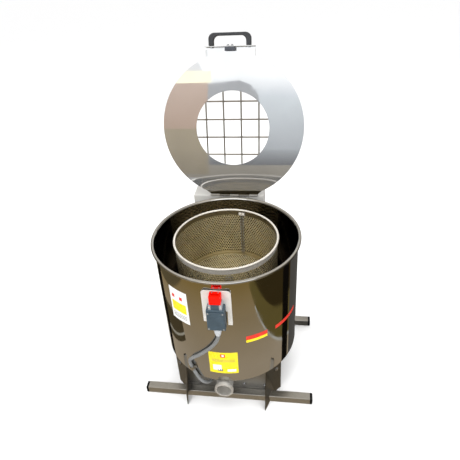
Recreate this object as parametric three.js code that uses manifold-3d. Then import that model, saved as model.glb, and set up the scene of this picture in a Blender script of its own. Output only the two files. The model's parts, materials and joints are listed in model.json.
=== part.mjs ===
// A floor-standing centrifugal extractor for honey and wax cappings: a polished tank on two
// foot bars, a perforated basket on a belt-driven spindle, a mirror-polished lid with a barred
// feed window, and a guard switch that the lid's key enters when the lid is shut.
// Millimetres, +Z up, -Y is the operator's side. Standing on Z = 0.

import * as THREE from 'three';
import { ConvexGeometry } from 'three/addons/geometries/ConvexGeometry.js';
import { mergeVertices } from 'three/addons/utils/BufferGeometryUtils.js';
import Module from 'manifold-3d';

const wasm = await Module();
wasm.setup();

// ---- driving dimensions ---------------------------------------------------------------------

const GAP = 0.3; // left between pieces that touch
const RUN = 0.4; // left round a turning piece
const MACHINE_Y = -42.55; // the tank's axis, from the middle of the whole machine's depth

const TANK = { radius: 250, wall: 2, bottom: 151, rim: 620, bead: 5.5, sides: 60 };
const SUMP = { edge: 156, crown: 214, crownRadius: 70, sheet: 2 };
const OUTLET = { y: -214, z: 118, radius: 30, wall: 2.5, bend: 34, mouth: -268, ring: 33.5 };
const BAR = { side: 30, wall: 2, length: 622, y: 200, plug: 9 };
const BAY = { halfWidth: 165, halfDepth: 175, sheet: 2, top: 150.3 };
const LEG = { sheet: 3, top: 150.6, foot: 1.5 };
const BASKET = { radius: 180, wall: 1.8, floor: 410, rim: 611, band: 25, bead: 4, sides: 48 };
const SPINDLE = { radius: 12, foot: 50, top: 424 };
const DRIVE = { z: 80, face: 20, wheel: 70, pulley: 30, motorY: 309, belt: 5, beltWidth: 15 };
const HOUSING = { left: -164, right: 115, front: 264, back: 354, foot: 27, top: 620, sheet: 2 };
const HINGE = { y: 259, z: 626.5, knuckle: 4.5, pin: 2.4, halfWidth: 92 };
const LID = {
  radius: 262, sheet: 2, under: -5.3, openAngle: 101.9, chord: 21, window: 136,
  tabHalf: 87, tabEnd: 541, flange: 30, rod: 2.75, rodPitch: 65,
};
const HANDLE = { width: 147, reach: 42, leg: 17, grip: 10, depth: 22, bend: 20 };
const SWITCH = { back: -254.6, bodyHalf: 29, headHalf: 18, headTop: 583, headFoot: 551, foot: 446 };
const CONDUIT = 6.5;
const PANEL = { y: 356.6, sheet: 3, left: -130, right: 60, foot: 470, top: 590 };

// ---- materials ------------------------------------------------------------------------------

const finish = {
  mirror: { color: 0xb9b8b2, metalness: 1, roughness: 0.12 },
  satin: { color: 0xa9a8a2, metalness: 1, roughness: 0.35 },
  shaft: { color: 0x8d8f92, metalness: 1, roughness: 0.3 },
  cast: { color: 0x5a6068, metalness: 0.6, roughness: 0.6 },
  black: { color: 0x1b1c1e, metalness: 0, roughness: 0.5 },
  rubber: { color: 0x141414, metalness: 0, roughness: 0.85 },
  slate: { color: 0x35424d, metalness: 0, roughness: 0.45 },
  red: { color: 0xd8210f, metalness: 0, roughness: 0.4 },
  green: { color: 0x1f8a3c, metalness: 0, roughness: 0.4 },
  grey: { color: 0x8a8c8c, metalness: 0, roughness: 0.55 },
  pale: { color: 0xc9ccce, metalness: 0, roughness: 0.5 },
};

// ---- small tools ----------------------------------------------------------------------------

const machine = new THREE.Group();
machine.position.y = MACHINE_Y;
const lid = new THREE.Group();
lid.position.set(0, HINGE.y, HINGE.z);
lid.rotation.x = -THREE.MathUtils.degToRad(LID.openAngle);
machine.add(lid);

// A geometry with shared corners merged and its faces turned outwards.
function closed(geometry) {
  let bare = geometry.clone();
  for (const name of Object.keys(bare.attributes)) {
    if (name !== 'position') bare.deleteAttribute(name);
  }
  bare = mergeVertices(bare, 1e-3);
  const at = bare.attributes.position;
  const [a, b, c] = [new THREE.Vector3(), new THREE.Vector3(), new THREE.Vector3()];
  const corners = Array.from(bare.index.array);
  const kept = [];
  let volume = 0;
  for (let i = 0; i < corners.length; i += 3) {
    const [p, q, r] = corners.slice(i, i + 3);
    if (p === q || q === r || r === p) continue;
    kept.push(p, q, r);
    a.fromBufferAttribute(at, p);
    b.fromBufferAttribute(at, q);
    c.fromBufferAttribute(at, r);
    volume += a.dot(b.cross(c));
  }
  if (volume < 0) {
    for (let i = 0; i < kept.length; i += 3) [kept[i], kept[i + 1]] = [kept[i + 1], kept[i]];
  }
  bare.setIndex(kept);
  return bare;
}

function solid(geometry) {
  const bare = closed(geometry);
  return new wasm.Manifold(new wasm.Mesh({
    numProp: 3,
    vertProperties: new Float32Array(bare.attributes.position.array),
    triVerts: new Uint32Array(bare.index.array),
  }));
}

function surface(body) {
  const mesh = body.getMesh();
  const geometry = new THREE.BufferGeometry();
  geometry.setAttribute('position', new THREE.BufferAttribute(mesh.vertProperties, 3));
  geometry.setIndex(new THREE.BufferAttribute(mesh.triVerts, 1));
  return geometry;
}

const join = (first, ...rest) => surface(rest.reduce((s, g) => s.add(solid(g)), solid(first)));
const cut = (first, ...rest) => surface(rest.reduce((s, g) => s.subtract(solid(g)), solid(first)));

function add(name, geometry, look, parent = machine) {
  const shape = closed(geometry);
  shape.computeVertexNormals();
  const mesh = new THREE.Mesh(shape, new THREE.MeshStandardMaterial(finish[look]));
  mesh.name = name;
  parent.add(mesh);
  return mesh;
}

function block(x, y, z) {
  const [w, d, h] = [x[1] - x[0], y[1] - y[0], z[1] - z[0]];
  const shape = new THREE.BoxGeometry(w, d, h);
  return shape.translate((x[0] + x[1]) / 2, (y[0] + y[1]) / 2, (z[0] + z[1]) / 2);
}

// A round bar from one point to another.
function bar(radius, from, to, sides = 24, endRadius = radius) {
  const [a, b] = [new THREE.Vector3(...from), new THREE.Vector3(...to)];
  const along = b.clone().sub(a);
  const shape = new THREE.CylinderGeometry(endRadius, radius, along.length(), sides);
  const turn = new THREE.Quaternion();
  turn.setFromUnitVectors(new THREE.Vector3(0, 1, 0), along.clone().normalize());
  return shape.applyQuaternion(turn).translate(...a.add(b).multiplyScalar(0.5).toArray());
}

// A profile of [radius, height] points turned about the Z axis.
function turned(profile, sides = 48) {
  const points = profile.map(([r, z]) => new THREE.Vector2(r, z));
  return new THREE.LatheGeometry(points, sides).rotateX(Math.PI / 2);
}

const ring = (inner, outer, low, high, sides = 48) => turned(
  [[inner, low], [outer, low], [outer, high], [inner, high], [inner, low]], sides);

function outline(points) {
  return new THREE.Shape(points.map(([x, y]) => new THREE.Vector2(x, y)));
}

function plate(shape, thickness, curveSegments = 24) {
  return new THREE.ExtrudeGeometry(shape, { depth: thickness, bevelEnabled: false, curveSegments });
}

function arc(x, y, radius, fromDeg, toDeg, steps) {
  return Array.from({ length: steps + 1 }, (_, i) => {
    const turn = THREE.MathUtils.degToRad(fromDeg + ((toDeg - fromDeg) * i) / steps);
    return [x + radius * Math.cos(turn), y + radius * Math.sin(turn)];
  });
}

// A point beside the tank: degrees from the front, towards +X, then radius and height.
function around(degrees, radius, z) {
  const turn = THREE.MathUtils.degToRad(degrees);
  return new THREE.Vector3(radius * Math.sin(turn), -radius * Math.cos(turn), z);
}

// ---- foot bars, plugs, legs and the drive bay -----------------------------------------------

function footBars() {
  const half = BAR.side / 2;
  const bore = half - BAR.wall;
  for (const [side, sign] of [['front', -1], ['rear', 1]]) {
    const y = sign * BAR.y;
    const tube = outline([[-half, -half], [half, -half], [half, half], [-half, half]]);
    tube.holes.push(outline([[-bore, -bore], [bore, -bore], [bore, bore], [-bore, bore]]));
    const shape = plate(tube, BAR.length).translate(0, 0, -BAR.length / 2).rotateY(Math.PI / 2);
    add(`${side}_foot_bar`, shape.translate(0, y, half), 'satin');
    for (const [end, way] of [['left', -1], ['right', 1]]) {
      const face = BAR.length / 2 + GAP;
      const fit = bore - GAP;
      const cap = block([face, face + BAR.plug], [-half, half], [-half, half]);
      const tongue = block([face - 18, face + 1], [-fit, fit], [-fit, fit]);
      const plug = join(cap, tongue).scale(way, 1, 1).translate(0, y, half);
      add(`${side}_${end}_end_plug`, plug, 'black');
    }
  }
}

// A flat sheet between the given corners, which lie in one plane.
function sheetBetween(corners, thickness) {
  const [a, b, c] = corners.map((p) => new THREE.Vector3(...p));
  const normal = b.clone().sub(a).cross(c.clone().sub(a)).normalize();
  const faces = corners.flatMap((p) => [-0.5, 0.5].map(
    (side) => new THREE.Vector3(...p).addScaledVector(normal, side * thickness)));
  return new ConvexGeometry(faces);
}

// Each leg is one folded sheet: an upright face under the tank's edge, and a fin that slopes
// forward over the bar to a point on the floor.
function legs() {
  const headIn = [148, -197, LEG.top];
  const headOut = [200, -147, LEG.top];
  const footOut = [200, -147, LEG.foot];
  const fold = [177, -169.1, LEG.foot];
  const tip = [147, -256, LEG.foot];
  const half = BAR.side / 2 + GAP;
  const slot = block([100, 260], [-BAR.y - half, -BAR.y + half], [-5, BAR.side + GAP]);
  const face = sheetBetween([headIn, headOut, footOut, fold], LEG.sheet);
  const fin = sheetBetween([headIn, fold, tip], LEG.sheet);
  const boltHole = bar(4, [170, -190, 128], [190, -150, 128], 12);
  const leg = surface(solid(face).add(solid(fin)).subtract(solid(slot)).subtract(solid(boltHole)));
  for (const [side, sy] of [['front', 1], ['rear', -1]]) {
    for (const [hand, sx] of [['right', 1], ['left', -1]]) {
      add(`${side}_${hand}_leg`, leg.clone().scale(sx, sy, 1), 'mirror');
    }
  }
}

const CONDUIT_ENTRY = { x: -50, z: 117 };
const DUCT = { half: 78, low: 52, high: 108, sheet: 2 };

function driveBay() {
  const { halfWidth: w, halfDepth: d, sheet, top } = BAY;
  const low = BAR.side + GAP;
  const between = BAR.y - BAR.side / 2 - GAP;
  add('base_plate', block([-w, w], [-between, between], [BAR.side - 3, BAR.side]), 'satin');
  const skirt = cut(
    block([-w, w], [-d, d], [low, top]),
    block([-w + sheet, w - sheet], [-d + sheet, d - sheet], [low - 1, top + 1]),
    bar(CONDUIT + 1, [CONDUIT_ENTRY.x, -d - 5, CONDUIT_ENTRY.z],
      [CONDUIT_ENTRY.x, -d + 5, CONDUIT_ENTRY.z], 16),
    block([-DUCT.half + 2, DUCT.half - 2], [d - 5, d + 5], [DUCT.low + 2, DUCT.high - 2]),
  );
  add('drive_bay_skirt', skirt, 'mirror');
  const grommet = ring(CONDUIT + GAP, CONDUIT + 4.5, 0, 3, 20).rotateX(Math.PI / 2);
  add('bay_grommet', grommet.translate(CONDUIT_ENTRY.x, -d - GAP, CONDUIT_ENTRY.z), 'black');
  const duct = cut(
    block([-DUCT.half, DUCT.half], [d + GAP, HOUSING.front - GAP], [DUCT.low, DUCT.high]),
    block([-DUCT.half + DUCT.sheet, DUCT.half - DUCT.sheet], [d - 5, HOUSING.front + 5],
      [DUCT.low + DUCT.sheet, DUCT.high - DUCT.sheet]),
  );
  add('belt_duct', duct, 'satin');
}

// ---- tank -----------------------------------------------------------------------------------

function tank() {
  const { radius: r, wall, bottom, rim, bead } = TANK;
  const centre = [r + bead - 1, rim - bead];
  const roll = arc(...centre, bead, -145, 150, 7);
  const shell = [[r - wall, bottom], [r, bottom], ...roll, [r - wall, rim - bead], [r - wall, bottom]];
  add('tank_shell', turned(shell, TANK.sides), 'mirror');

  const { edge, crown, crownRadius, sheet } = SUMP;
  const outer = (r - wall) * Math.cos(Math.PI / TANK.sides) - GAP;
  const hole = HUB.radius + GAP;
  const floor = turned([
    [hole, crown], [hole, crown + sheet], [crownRadius, crown + sheet], [outer - 8, edge + sheet],
    [outer, edge + sheet], [outer, edge], [outer - 8, edge], [crownRadius, crown], [hole, crown],
  ], 48);
  const drop = bar(OUTLET.radius + GAP, [0, OUTLET.y, 100], [0, OUTLET.y, 220], 32);
  add('tank_floor', cut(floor, drop), 'satin');
}

// Straight down from the tank's floor, a quarter bend, then straight out to the mouth.
class OutletPath extends THREE.Curve {
  getPoint(t) {
    const top = 168;
    const bendTop = OUTLET.z + OUTLET.bend;
    const lengths = [top - bendTop, (OUTLET.bend * Math.PI) / 2, OUTLET.y - OUTLET.bend - OUTLET.mouth];
    const s = t * (lengths[0] + lengths[1] + lengths[2]);
    if (s < lengths[0]) return new THREE.Vector3(0, OUTLET.y, top - s);
    if (s < lengths[0] + lengths[1]) {
      const turn = (s - lengths[0]) / OUTLET.bend;
      const [y, z] = [OUTLET.y - OUTLET.bend, bendTop];
      return new THREE.Vector3(
        0, y + OUTLET.bend * Math.cos(turn), z - OUTLET.bend * Math.sin(turn));
    }
    const out = s - lengths[0] - lengths[1];
    return new THREE.Vector3(0, OUTLET.y - OUTLET.bend - out, OUTLET.z);
  }
}

function outlet() {
  const wall = new THREE.Shape().absarc(0, 0, OUTLET.radius, 0, 2 * Math.PI);
  wall.holes.push(new THREE.Path().absarc(0, 0, OUTLET.radius - OUTLET.wall, 0, 2 * Math.PI));
  const pipe = new THREE.ExtrudeGeometry(wall, {
    steps: 12, curveSegments: 9, bevelEnabled: false, extrudePath: new OutletPath(),
  });
  add('outlet_elbow', pipe, 'satin');
  const collar = turned([
    [OUTLET.radius + GAP, 0], [OUTLET.ring, 0], [OUTLET.ring, 10], [OUTLET.radius + 1.5, 13],
    [OUTLET.radius + GAP, 13], [OUTLET.radius + GAP, 0],
  ], 24);
  add('outlet_ring', collar.rotateX(-Math.PI / 2).translate(0, OUTLET.mouth, OUTLET.z), 'satin');
}

// ---- spindle, bearings, basket --------------------------------------------------------------

const HUB = { radius: 30, low: 160, high: 262, seat: 25 };

function bearings() {
  const { radius, low, high, seat } = HUB;
  const neck = SPINDLE.radius + 4;
  add('bearing_housing', turned([
    [seat, low], [radius, low], [radius, SUMP.crown - 8], [radius + 14, SUMP.crown - 8],
    [radius + 14, SUMP.crown - GAP], [radius, SUMP.crown - GAP], [radius, high], [seat, high],
    [seat, high - 14], [neck, high - 14], [neck, low + 14], [seat, low + 14], [seat, low],
  ], 24), 'cast');
  for (const [name, z] of [['lower_bearing', low + 1], ['upper_bearing', high - 13]]) {
    add(name, ring(SPINDLE.radius + RUN, seat - 2 * GAP, z, z + 12, 24), 'shaft');
  }
}

function spindle() {
  const { radius, foot, top } = SPINDLE;
  add('spindle', bar(radius, [0, 0, foot], [0, 0, top], 24), 'shaft');
  const bore = radius + GAP;
  const [low, high] = [DRIVE.z - DRIVE.face / 2, DRIVE.z + DRIVE.face / 2];
  const edge = DRIVE.wheel + 3;
  const web = DRIVE.wheel - 10;
  add('driven_wheel', turned([
    [bore, low - 8], [28, low - 8], [28, low + 4], [web, low + 4], [web, low], [edge, low],
    [DRIVE.wheel, low + 2], [DRIVE.wheel, high - 2], [edge, high], [web, high],
    [web, low + 10], [28, low + 10], [28, high + 4], [bore, high + 4], [bore, low - 8],
  ], 32), 'cast');
  const nut = (across, from, to) => cut(bar(across, [0, 0, from], [0, 0, to], 6),
    bar(bore, [0, 0, from - 5], [0, 0, to + 5], 24));
  const basketNut = BASKET.floor + BASKET.wall + GAP;
  add('wheel_nut', nut(20, foot + 1, low - 8 - GAP), 'satin');
  add('basket_nut', nut(17, basketNut, basketNut + 10), 'satin');
}

function basket() {
  const { radius: r, wall, floor, rim, band, bead, sides } = BASKET;
  const bandFoot = rim - band;
  const inner = r - wall;
  const bore = SPINDLE.radius + GAP;
  add('basket_wall', ring(inner, r, floor, bandFoot - GAP, sides), 'satin');
  const roll = arc(r + 0.5, rim - bead, bead, -100, 170, 6);
  add('basket_band', turned([
    [inner, bandFoot], [r, bandFoot], ...roll, [inner, rim - bead - 2], [inner, bandFoot],
  ], sides), 'mirror');
  add('basket_floor', ring(bore, inner - GAP, floor, floor + wall, sides), 'satin');
  const under = floor - GAP;
  add('basket_hub', turned([
    [bore, 340], [24, 340], [24, under - 10], [62, under - 5], [62, under], [bore, under],
    [bore, 340],
  ], 24), 'cast');

  // The wall is one rolled sheet, so it has an upright lap with a small clamp plate on top.
  const lapTurn = THREE.MathUtils.degToRad(-12);
  const lapRadius = inner * Math.cos(Math.PI / sides) - 2 * GAP;
  const lap = block([-7, 7], [lapRadius - 1.5, lapRadius], [floor + wall + 1, bandFoot - 2]);
  add('basket_lap_strip', lap.rotateZ(lapTurn), 'satin');
  const clamp = join(
    block([-12, 12], [lapRadius - 2, lapRadius], [bandFoot, bandFoot + 14]),
    bar(3, [-6, lapRadius - 1, bandFoot + 7], [-6, lapRadius - 5, bandFoot + 7], 12),
    bar(3, [6, lapRadius - 1, bandFoot + 7], [6, lapRadius - 5, bandFoot + 7], 12),
  );
  add('basket_clamp_plate', clamp.rotateZ(lapTurn), 'mirror');
}

// ---- belt drive -----------------------------------------------------------------------------

function beltLoop(offset) {
  const { wheel, pulley, motorY } = DRIVE;
  const lean = THREE.MathUtils.radToDeg(Math.acos((wheel - pulley) / motorY));
  return [
    ...arc(0, 0, wheel + offset, 90 + lean, 450 - lean, 26),
    ...arc(0, motorY, pulley + offset, 90 - lean, 90 + lean, 12),
  ];
}

function beltDrive() {
  const { z, face, pulley, motorY, belt, beltWidth } = DRIVE;
  const loop = outline(beltLoop(GAP + belt));
  loop.holes.push(outline(beltLoop(GAP)));
  add('drive_belt', plate(loop, beltWidth).translate(0, 0, z - beltWidth / 2), 'rubber');

  const [low, high] = [z - face / 2, z + face / 2];
  const shaft = 7;
  const edge = pulley + 3;
  const wheel = turned([
    [shaft + GAP, low], [edge, low], [edge, low + 1.5], [pulley, low + 2], [pulley, high - 2],
    [edge, high - 1.5], [edge, high], [shaft + GAP, high], [shaft + GAP, low],
  ], 24);
  add('motor_pulley', wheel.translate(0, motorY, 0), 'cast');
  add('motor_shaft', bar(shaft, [0, motorY, 62], [0, motorY, 150], 24), 'shaft');

  const seat = 138;
  const shelfHalf = HOUSING.back - motorY - HOUSING.sheet - 1;
  const shelf = cut(
    block([-60, 60], [motorY - shelfHalf, motorY + shelfHalf], [seat - 4, seat]),
    bar(18, [0, motorY, seat - 10], [0, motorY, seat + 10], 24),
  );
  add('motor_shelf', shelf, 'satin');
  const base = seat + GAP;
  const body = turned([
    [shaft + RUN, base], [38, base], [40, base + 6], [40, base + 128], [34, base + 142],
    [0, base + 142], [0, base + 20], [shaft + RUN, base + 20], [shaft + RUN, base],
  ], 24);
  add('motor', body.translate(0, motorY, 0), 'cast');
}

// ---- rear housing and its controls ----------------------------------------------------------

const CONTROLS = {
  start: { x: -80, z: 552, cap: 11 },
  stop: { x: -35, z: 548, cap: 18 },
  speed: { x: 22, z: 548, cap: 17 },
};

const alongY = (radius, at, from, to, sides) => bar(radius, [at.x, from, at.z], [at.x, to, at.z], sides);

function housing() {
  const { left, right, front, back, foot, top, sheet } = HOUSING;
  const box = cut(
    block([left, right], [front, back], [foot, top]),
    block([left + sheet, right - sheet], [front + sheet, back + 5], [foot + sheet, top - sheet]),
    block([-DUCT.half + 2, DUCT.half - 2], [front - 5, front + 5], [DUCT.low + 2, DUCT.high - 2]),
  );
  add('rear_housing', box, 'pale');
  const glandHole = { x: 70, z: 90 };
  const holes = Object.values(CONTROLS).map((at) => alongY(6, at, back - 5, back + 20, 16));
  const cover = cut(
    block([left, right], [back + GAP, back + GAP + sheet], [foot, top]),
    ...holes, alongY(7.2, glandHole, back - 5, back + 10, 16));
  add('rear_cover', cover, 'pale');
  const outside = back + GAP + sheet;
  const gland = ring(3.5, 12, 0, 12, 20).rotateX(-Math.PI / 2);
  add('mains_gland', gland.translate(glandHole.x, outside + GAP, glandHole.z), 'black');

  const reach = (x) => Math.sqrt((TANK.radius + GAP) ** 2 - x ** 2);
  const round = bar(TANK.radius + GAP, [0, 0, 0], [0, 0, 700], 144);
  for (const [name, z] of [['lower', 215], ['upper', 545]]) {
    const half = 80;
    const saddle = block([-half, half], [reach(half) - 4, front - GAP], [z - 18, z + 18]);
    add(`${name}_tank_saddle`, cut(saddle, round), 'satin');
  }
}

function controls() {
  const { y, sheet, left, right, foot, top } = PANEL;
  const face = y + sheet;
  const holes = Object.values(CONTROLS).map((at) => alongY(6, at, y - 5, y + 20, 16));
  const collar = alongY(15, CONTROLS.start, face - 1, face + 4, 24);
  const well = alongY(12.5, CONTROLS.start, face, face + 9, 24);
  const board = join(block([left, right], [y, face], [foot, top]), collar);
  add('control_panel', cut(board, well, ...holes), 'black');

  for (const name of ['start', 'stop']) {
    const at = CONTROLS[name];
    const capFoot = face + 4.5;
    const cap = join(
      alongY(at.cap, at, capFoot, capFoot + 6, 24),
      alongY(5, at, HOUSING.back - 8, capFoot + 1, 16),
    );
    add(`${name}_button`, cap, name === 'start' ? 'green' : 'red');
  }
  const at = CONTROLS.speed;
  const knob = join(
    bar(at.cap, [at.x, face + 0.8, at.z], [at.x, face + 15, at.z], 24, at.cap - 2),
    alongY(5, at, HOUSING.back - 8, face + 2, 16),
    block([at.x - 1.5, at.x + 1.5], [face + 13, face + 16], [at.z + 2, at.z + at.cap - 3]),
  );
  add('speed_knob', knob, 'black');
}

// ---- guard switch, its bracket and its conduit ----------------------------------------------

const KEY = { half: 12, distance: 528, thickness: 3, tip: -58 };

function guardSwitch() {
  const { back, bodyHalf: w, headHalf, headTop, headFoot, foot } = SWITCH;
  const plateHalf = 46.5;
  const plateY = [-254.2, -252.2];
  const corners = outline([
    [-plateHalf, 452], ...arc(-plateHalf + 12, 573, 12, 180, 90, 5),
    ...arc(plateHalf - 12, 573, 12, 90, 0, 5), [plateHalf, 440],
    [plateHalf - 14, 440], [plateHalf - 14, 500], [-plateHalf + 14, 500], [-plateHalf + 14, 452],
  ]);
  const face = plate(corners, 2).rotateX(Math.PI / 2).translate(0, plateY[1], 0);
  const flange = (x, low) => block([x, x + 2], [plateY[0] + 1, -247], [low, 573]);
  add('switch_bracket', join(face, flange(-plateHalf, 452), flange(plateHalf - 2, 440)), 'mirror');

  const front = -287;
  const bodyTop = 533;
  const body = join(
    block([-w, w], [front, back], [foot, bodyTop]),
    block([-22, 22], [front + 3, back], [bodyTop - 2, headFoot - GAP]),
  );
  add('switch_body', body, 'slate');
  const lidPlate = cut(
    block([-w + 1, w - 1], [front - 3.5, front - GAP], [foot + 4, bodyTop - 8]),
    block([-w + 6, w - 6], [front - 5, front - 2.5], [foot + 14, bodyTop - 18]),
  );
  add('switch_cover', lidPlate, 'slate');

  const keyY = HINGE.y - KEY.distance;
  const head = cut(
    block([-headHalf, headHalf], [-282, back], [headFoot, headTop]),
    block([-KEY.half - 1.5, KEY.half + 1.5], [keyY - 5, keyY + 4], [headTop - 22, headTop + 5]),
  );
  add('switch_head', head, 'red');

  const glandTop = foot - GAP;
  add('switch_gland', turned([
    [CONDUIT + RUN, glandTop - 34], [8.5, glandTop - 34], [12, glandTop - 16],
    [14.5, glandTop - 14], [14.5, glandTop - 4], [11, glandTop], [0, glandTop],
    [0, glandTop - 8], [CONDUIT + RUN, glandTop - 8], [CONDUIT + RUN, glandTop - 34],
  ], 24).translate(0, -271, 0), 'pale');
}

// The conduit is held all the way: from the switch down the tank, under a clip, and round below
// the tank's edge into the drive bay.
const CONDUIT_ROUTE = [
  new THREE.Vector3(0, -271, 437),
  new THREE.Vector3(0, -271, 421),
  new THREE.Vector3(0, -271, 405),
  around(-1, 269.5, 388),
  around(-4.5, 263.5, 352),
  around(-10.5, 258.2, 314),
  around(-18.5, 257.4, 274),
  around(-25.5, 257.4, 242),
  around(-28.6, 257.4, 216),
  around(-26.6, 257.4, 190),
  around(-23.4, 257.4, 160),
  around(-19.5, 255, 133),
  around(-15.6, 243, 115),
  around(-13.6, 224, 109),
  around(-14, 206, 114),
  new THREE.Vector3(CONDUIT_ENTRY.x, -184, CONDUIT_ENTRY.z),
  new THREE.Vector3(CONDUIT_ENTRY.x, -168, CONDUIT_ENTRY.z),
];

function conduit() {
  const section = new THREE.Shape().absarc(0, 0, CONDUIT, 0, 2 * Math.PI);
  const hose = new THREE.ExtrudeGeometry(section, {
    steps: 40, curveSegments: 4, bevelEnabled: false,
    extrudePath: new THREE.CatmullRomCurve3(CONDUIT_ROUTE),
  });
  add('switch_conduit', hose, 'grey');

  // A saddle clip over the conduit: two ears on the tank's wall and a half loop.
  const inner = CONDUIT + 1;
  const ear = 17;
  const omega = outline([
    [-ear, 0.6], [-inner, 0.6], ...arc(0, 7.4, inner, 180, 0, 10), [inner, 0.6], [ear, 0.6],
    [ear, 2.4], [inner + 2, 2.4], ...arc(0, 7.4, inner + 2, 0, 180, 10), [-inner - 2, 2.4],
    [-ear, 2.4],
  ]);
  const clip = plate(omega, 12).translate(0, 0, -6);
  const at = around(-26.4, TANK.radius, 188);
  const out = new THREE.Vector3(at.x, at.y, 0).normalize();
  const along = around(-25, 257, 175).sub(around(-28, 257, 202)).setComponent(2, -27).normalize();
  const run = along.addScaledVector(out, -along.dot(out)).normalize();
  const across = out.clone().cross(run).normalize();
  clip.applyMatrix4(new THREE.Matrix4().makeBasis(across, out, run).setPosition(at));
  add('conduit_clip', clip, 'satin');
}

// ---- lid and hinge --------------------------------------------------------------------------

const KNUCKLES = [
  ['fixed', -92, -58], ['moving', -57.5, -17.5], ['fixed', -17, 17], ['moving', 17.5, 57.5],
  ['fixed', 58, 92],
];

function hinge() {
  const { y, z, knuckle, pin, halfWidth } = HINGE;
  const bore = bar(pin + RUN, [-120, 0, 0], [120, 0, 0], 20);
  const barrels = (kind) => KNUCKLES.filter((k) => k[0] === kind).map(([, from, to]) => ({
    from, to, shape: bar(knuckle, [from, 0, 0], [to, 0, 0], 20),
  }));

  const top = HOUSING.top + GAP - z;
  const leafPlate = block([-halfWidth, halfWidth], [6, 46], [top, top + 2]);
  const lip = block([-60, 60], [5.6, 7.6], [top, 26]);
  const fixed = barrels('fixed').flatMap(({ from, to, shape }) => [
    shape, block([from, to], [0, 8], [top, top + 2])]);
  const leaf = surface([leafPlate, lip, ...fixed].map(solid).reduce((a, b) => a.add(b))
    .subtract(solid(bore)));
  add('hinge_fixed_leaf', leaf.translate(0, y, z), 'satin');
  add('hinge_pin', bar(pin, [-94, y, z], [94, y, z], 20), 'shaft');

  // In the lid's own group, flat as when shut: the hinge line is X, and the lid lies towards -Y.
  const low = LID.under + LID.sheet + GAP;
  const wing = outline([[-halfWidth, -6], [halfWidth, -6], [110, -LID.chord], [110, -46], [-110, -46],
    [-110, -LID.chord]]);
  const wingPlate = plate(wing, 2).translate(0, 0, low);
  const moving = barrels('moving').flatMap(({ from, to, shape }) => [
    shape, block([from, to], [-8, 0], [low, low + 2])]);
  const swing = surface([wingPlate, ...moving].map(solid).reduce((a, b) => a.add(b))
    .subtract(solid(bore)));
  add('hinge_moving_leaf', swing, 'mirror', lid);
}

function lidSheet() {
  const { radius, sheet, under, chord, window, tabHalf, tabEnd, flange } = LID;
  const centre = HINGE.y;
  const deg = THREE.MathUtils.radToDeg;
  const chordTurn = deg(Math.acos((centre - chord) / radius));
  const tabTurn = deg(Math.asin(tabHalf / radius));
  const edge = outline([
    ...arc(0, -centre, radius, 90 - chordTurn, -90 + tabTurn, 30),
    [tabHalf, -tabEnd], [-tabHalf, -tabEnd],
    ...arc(0, -centre, radius, -90 - tabTurn, -270 + chordTurn, 30),
  ]);
  edge.holes.push(new THREE.Path().absarc(0, -centre, window, 0, 2 * Math.PI));
  const disc = plate(edge, sheet, 24).translate(0, 0, under);
  const lip = block([-tabHalf, tabHalf], [-tabEnd - 2, -tabEnd + 0.2], [-flange, under + sheet]);
  const side = (x) => block([x, x + 2], [-tabEnd + 9, -510], [under - 10, under + 1]);
  const keyHoles = [-7, 7].map((x) => bar(2.6, [x, -tabEnd - 6, -18], [x, -tabEnd + 4, -18], 10));
  const body = [disc, lip, side(-tabHalf), side(tabHalf - 2)].map(solid).reduce((a, b) => a.add(b));
  add('lid_sheet', surface(keyHoles.reduce((s, g) => s.subtract(solid(g)), body)), 'mirror', lid);
}

function windowBars() {
  const { rod, rodPitch, window, under, sheet } = LID;
  const centre = HINGE.y;
  const first = under + sheet + GAP + rod;
  const second = first + 2 * rod - 0.6; // the two layers are welded where they cross
  const offsets = [-1.5, -0.5, 0.5, 1.5].map((n) => n * rodPitch);
  const reach = (o) => Math.sqrt(window ** 2 - o ** 2) + 9;
  const bars = offsets.flatMap((o) => [
    bar(rod, [o, -centre - reach(o), first], [o, -centre + reach(o), first], 8),
    bar(rod, [-reach(o), -centre - o, second], [reach(o), -centre - o, second], 8),
  ]);
  add('window_grid', join(...bars), 'satin', lid);
}

function lidFittings() {
  const { width, reach, leg, grip, depth, bend } = HANDLE;
  const w = width / 2;
  const inner = bend - 3;
  const face = -LID.tabEnd - 2 - GAP;
  const bow = outline([
    [-w, face], [-w + leg, face],
    ...arc(-w + leg + inner, face - reach + grip + inner, inner, 180, 270, 6),
    ...arc(w - leg - inner, face - reach + grip + inner, inner, 270, 360, 6),
    [w - leg, face], [w, face],
    ...arc(w - bend, face - reach + bend, bend, 0, -90, 6),
    ...arc(-w + bend, face - reach + bend, bend, 270, 180, 6),
  ]);
  add('lid_handle', plate(bow, depth).translate(0, 0, -depth - 7), 'black', lid);
  const backFace = -LID.tabEnd + 0.2 + GAP;

  const keyBack = -KEY.distance + KEY.thickness / 2;
  const key = surface([
    block([-16.5, 16.5], [backFace, keyBack], [-40, -9]),
    block([-KEY.half, KEY.half], [keyBack - KEY.thickness, keyBack], [KEY.tip, -39]),
  ].map(solid).reduce((a, b) => a.add(b)).subtract(solid(
    block([-4, 4], [keyBack - 20, keyBack + 5], [KEY.tip - 5, KEY.tip + 12]))));
  add('guard_key', key, 'cast', lid);
}

footBars();
legs();
driveBay();
tank();
outlet();
bearings();
spindle();
basket();
beltDrive();
housing();
controls();
guardSwitch();
conduit();
hinge();
lidSheet();
windowBars();
lidFittings();

export default machine;
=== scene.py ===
import json
import math

import bmesh
import bpy
from mathutils import Matrix, Vector


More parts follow.
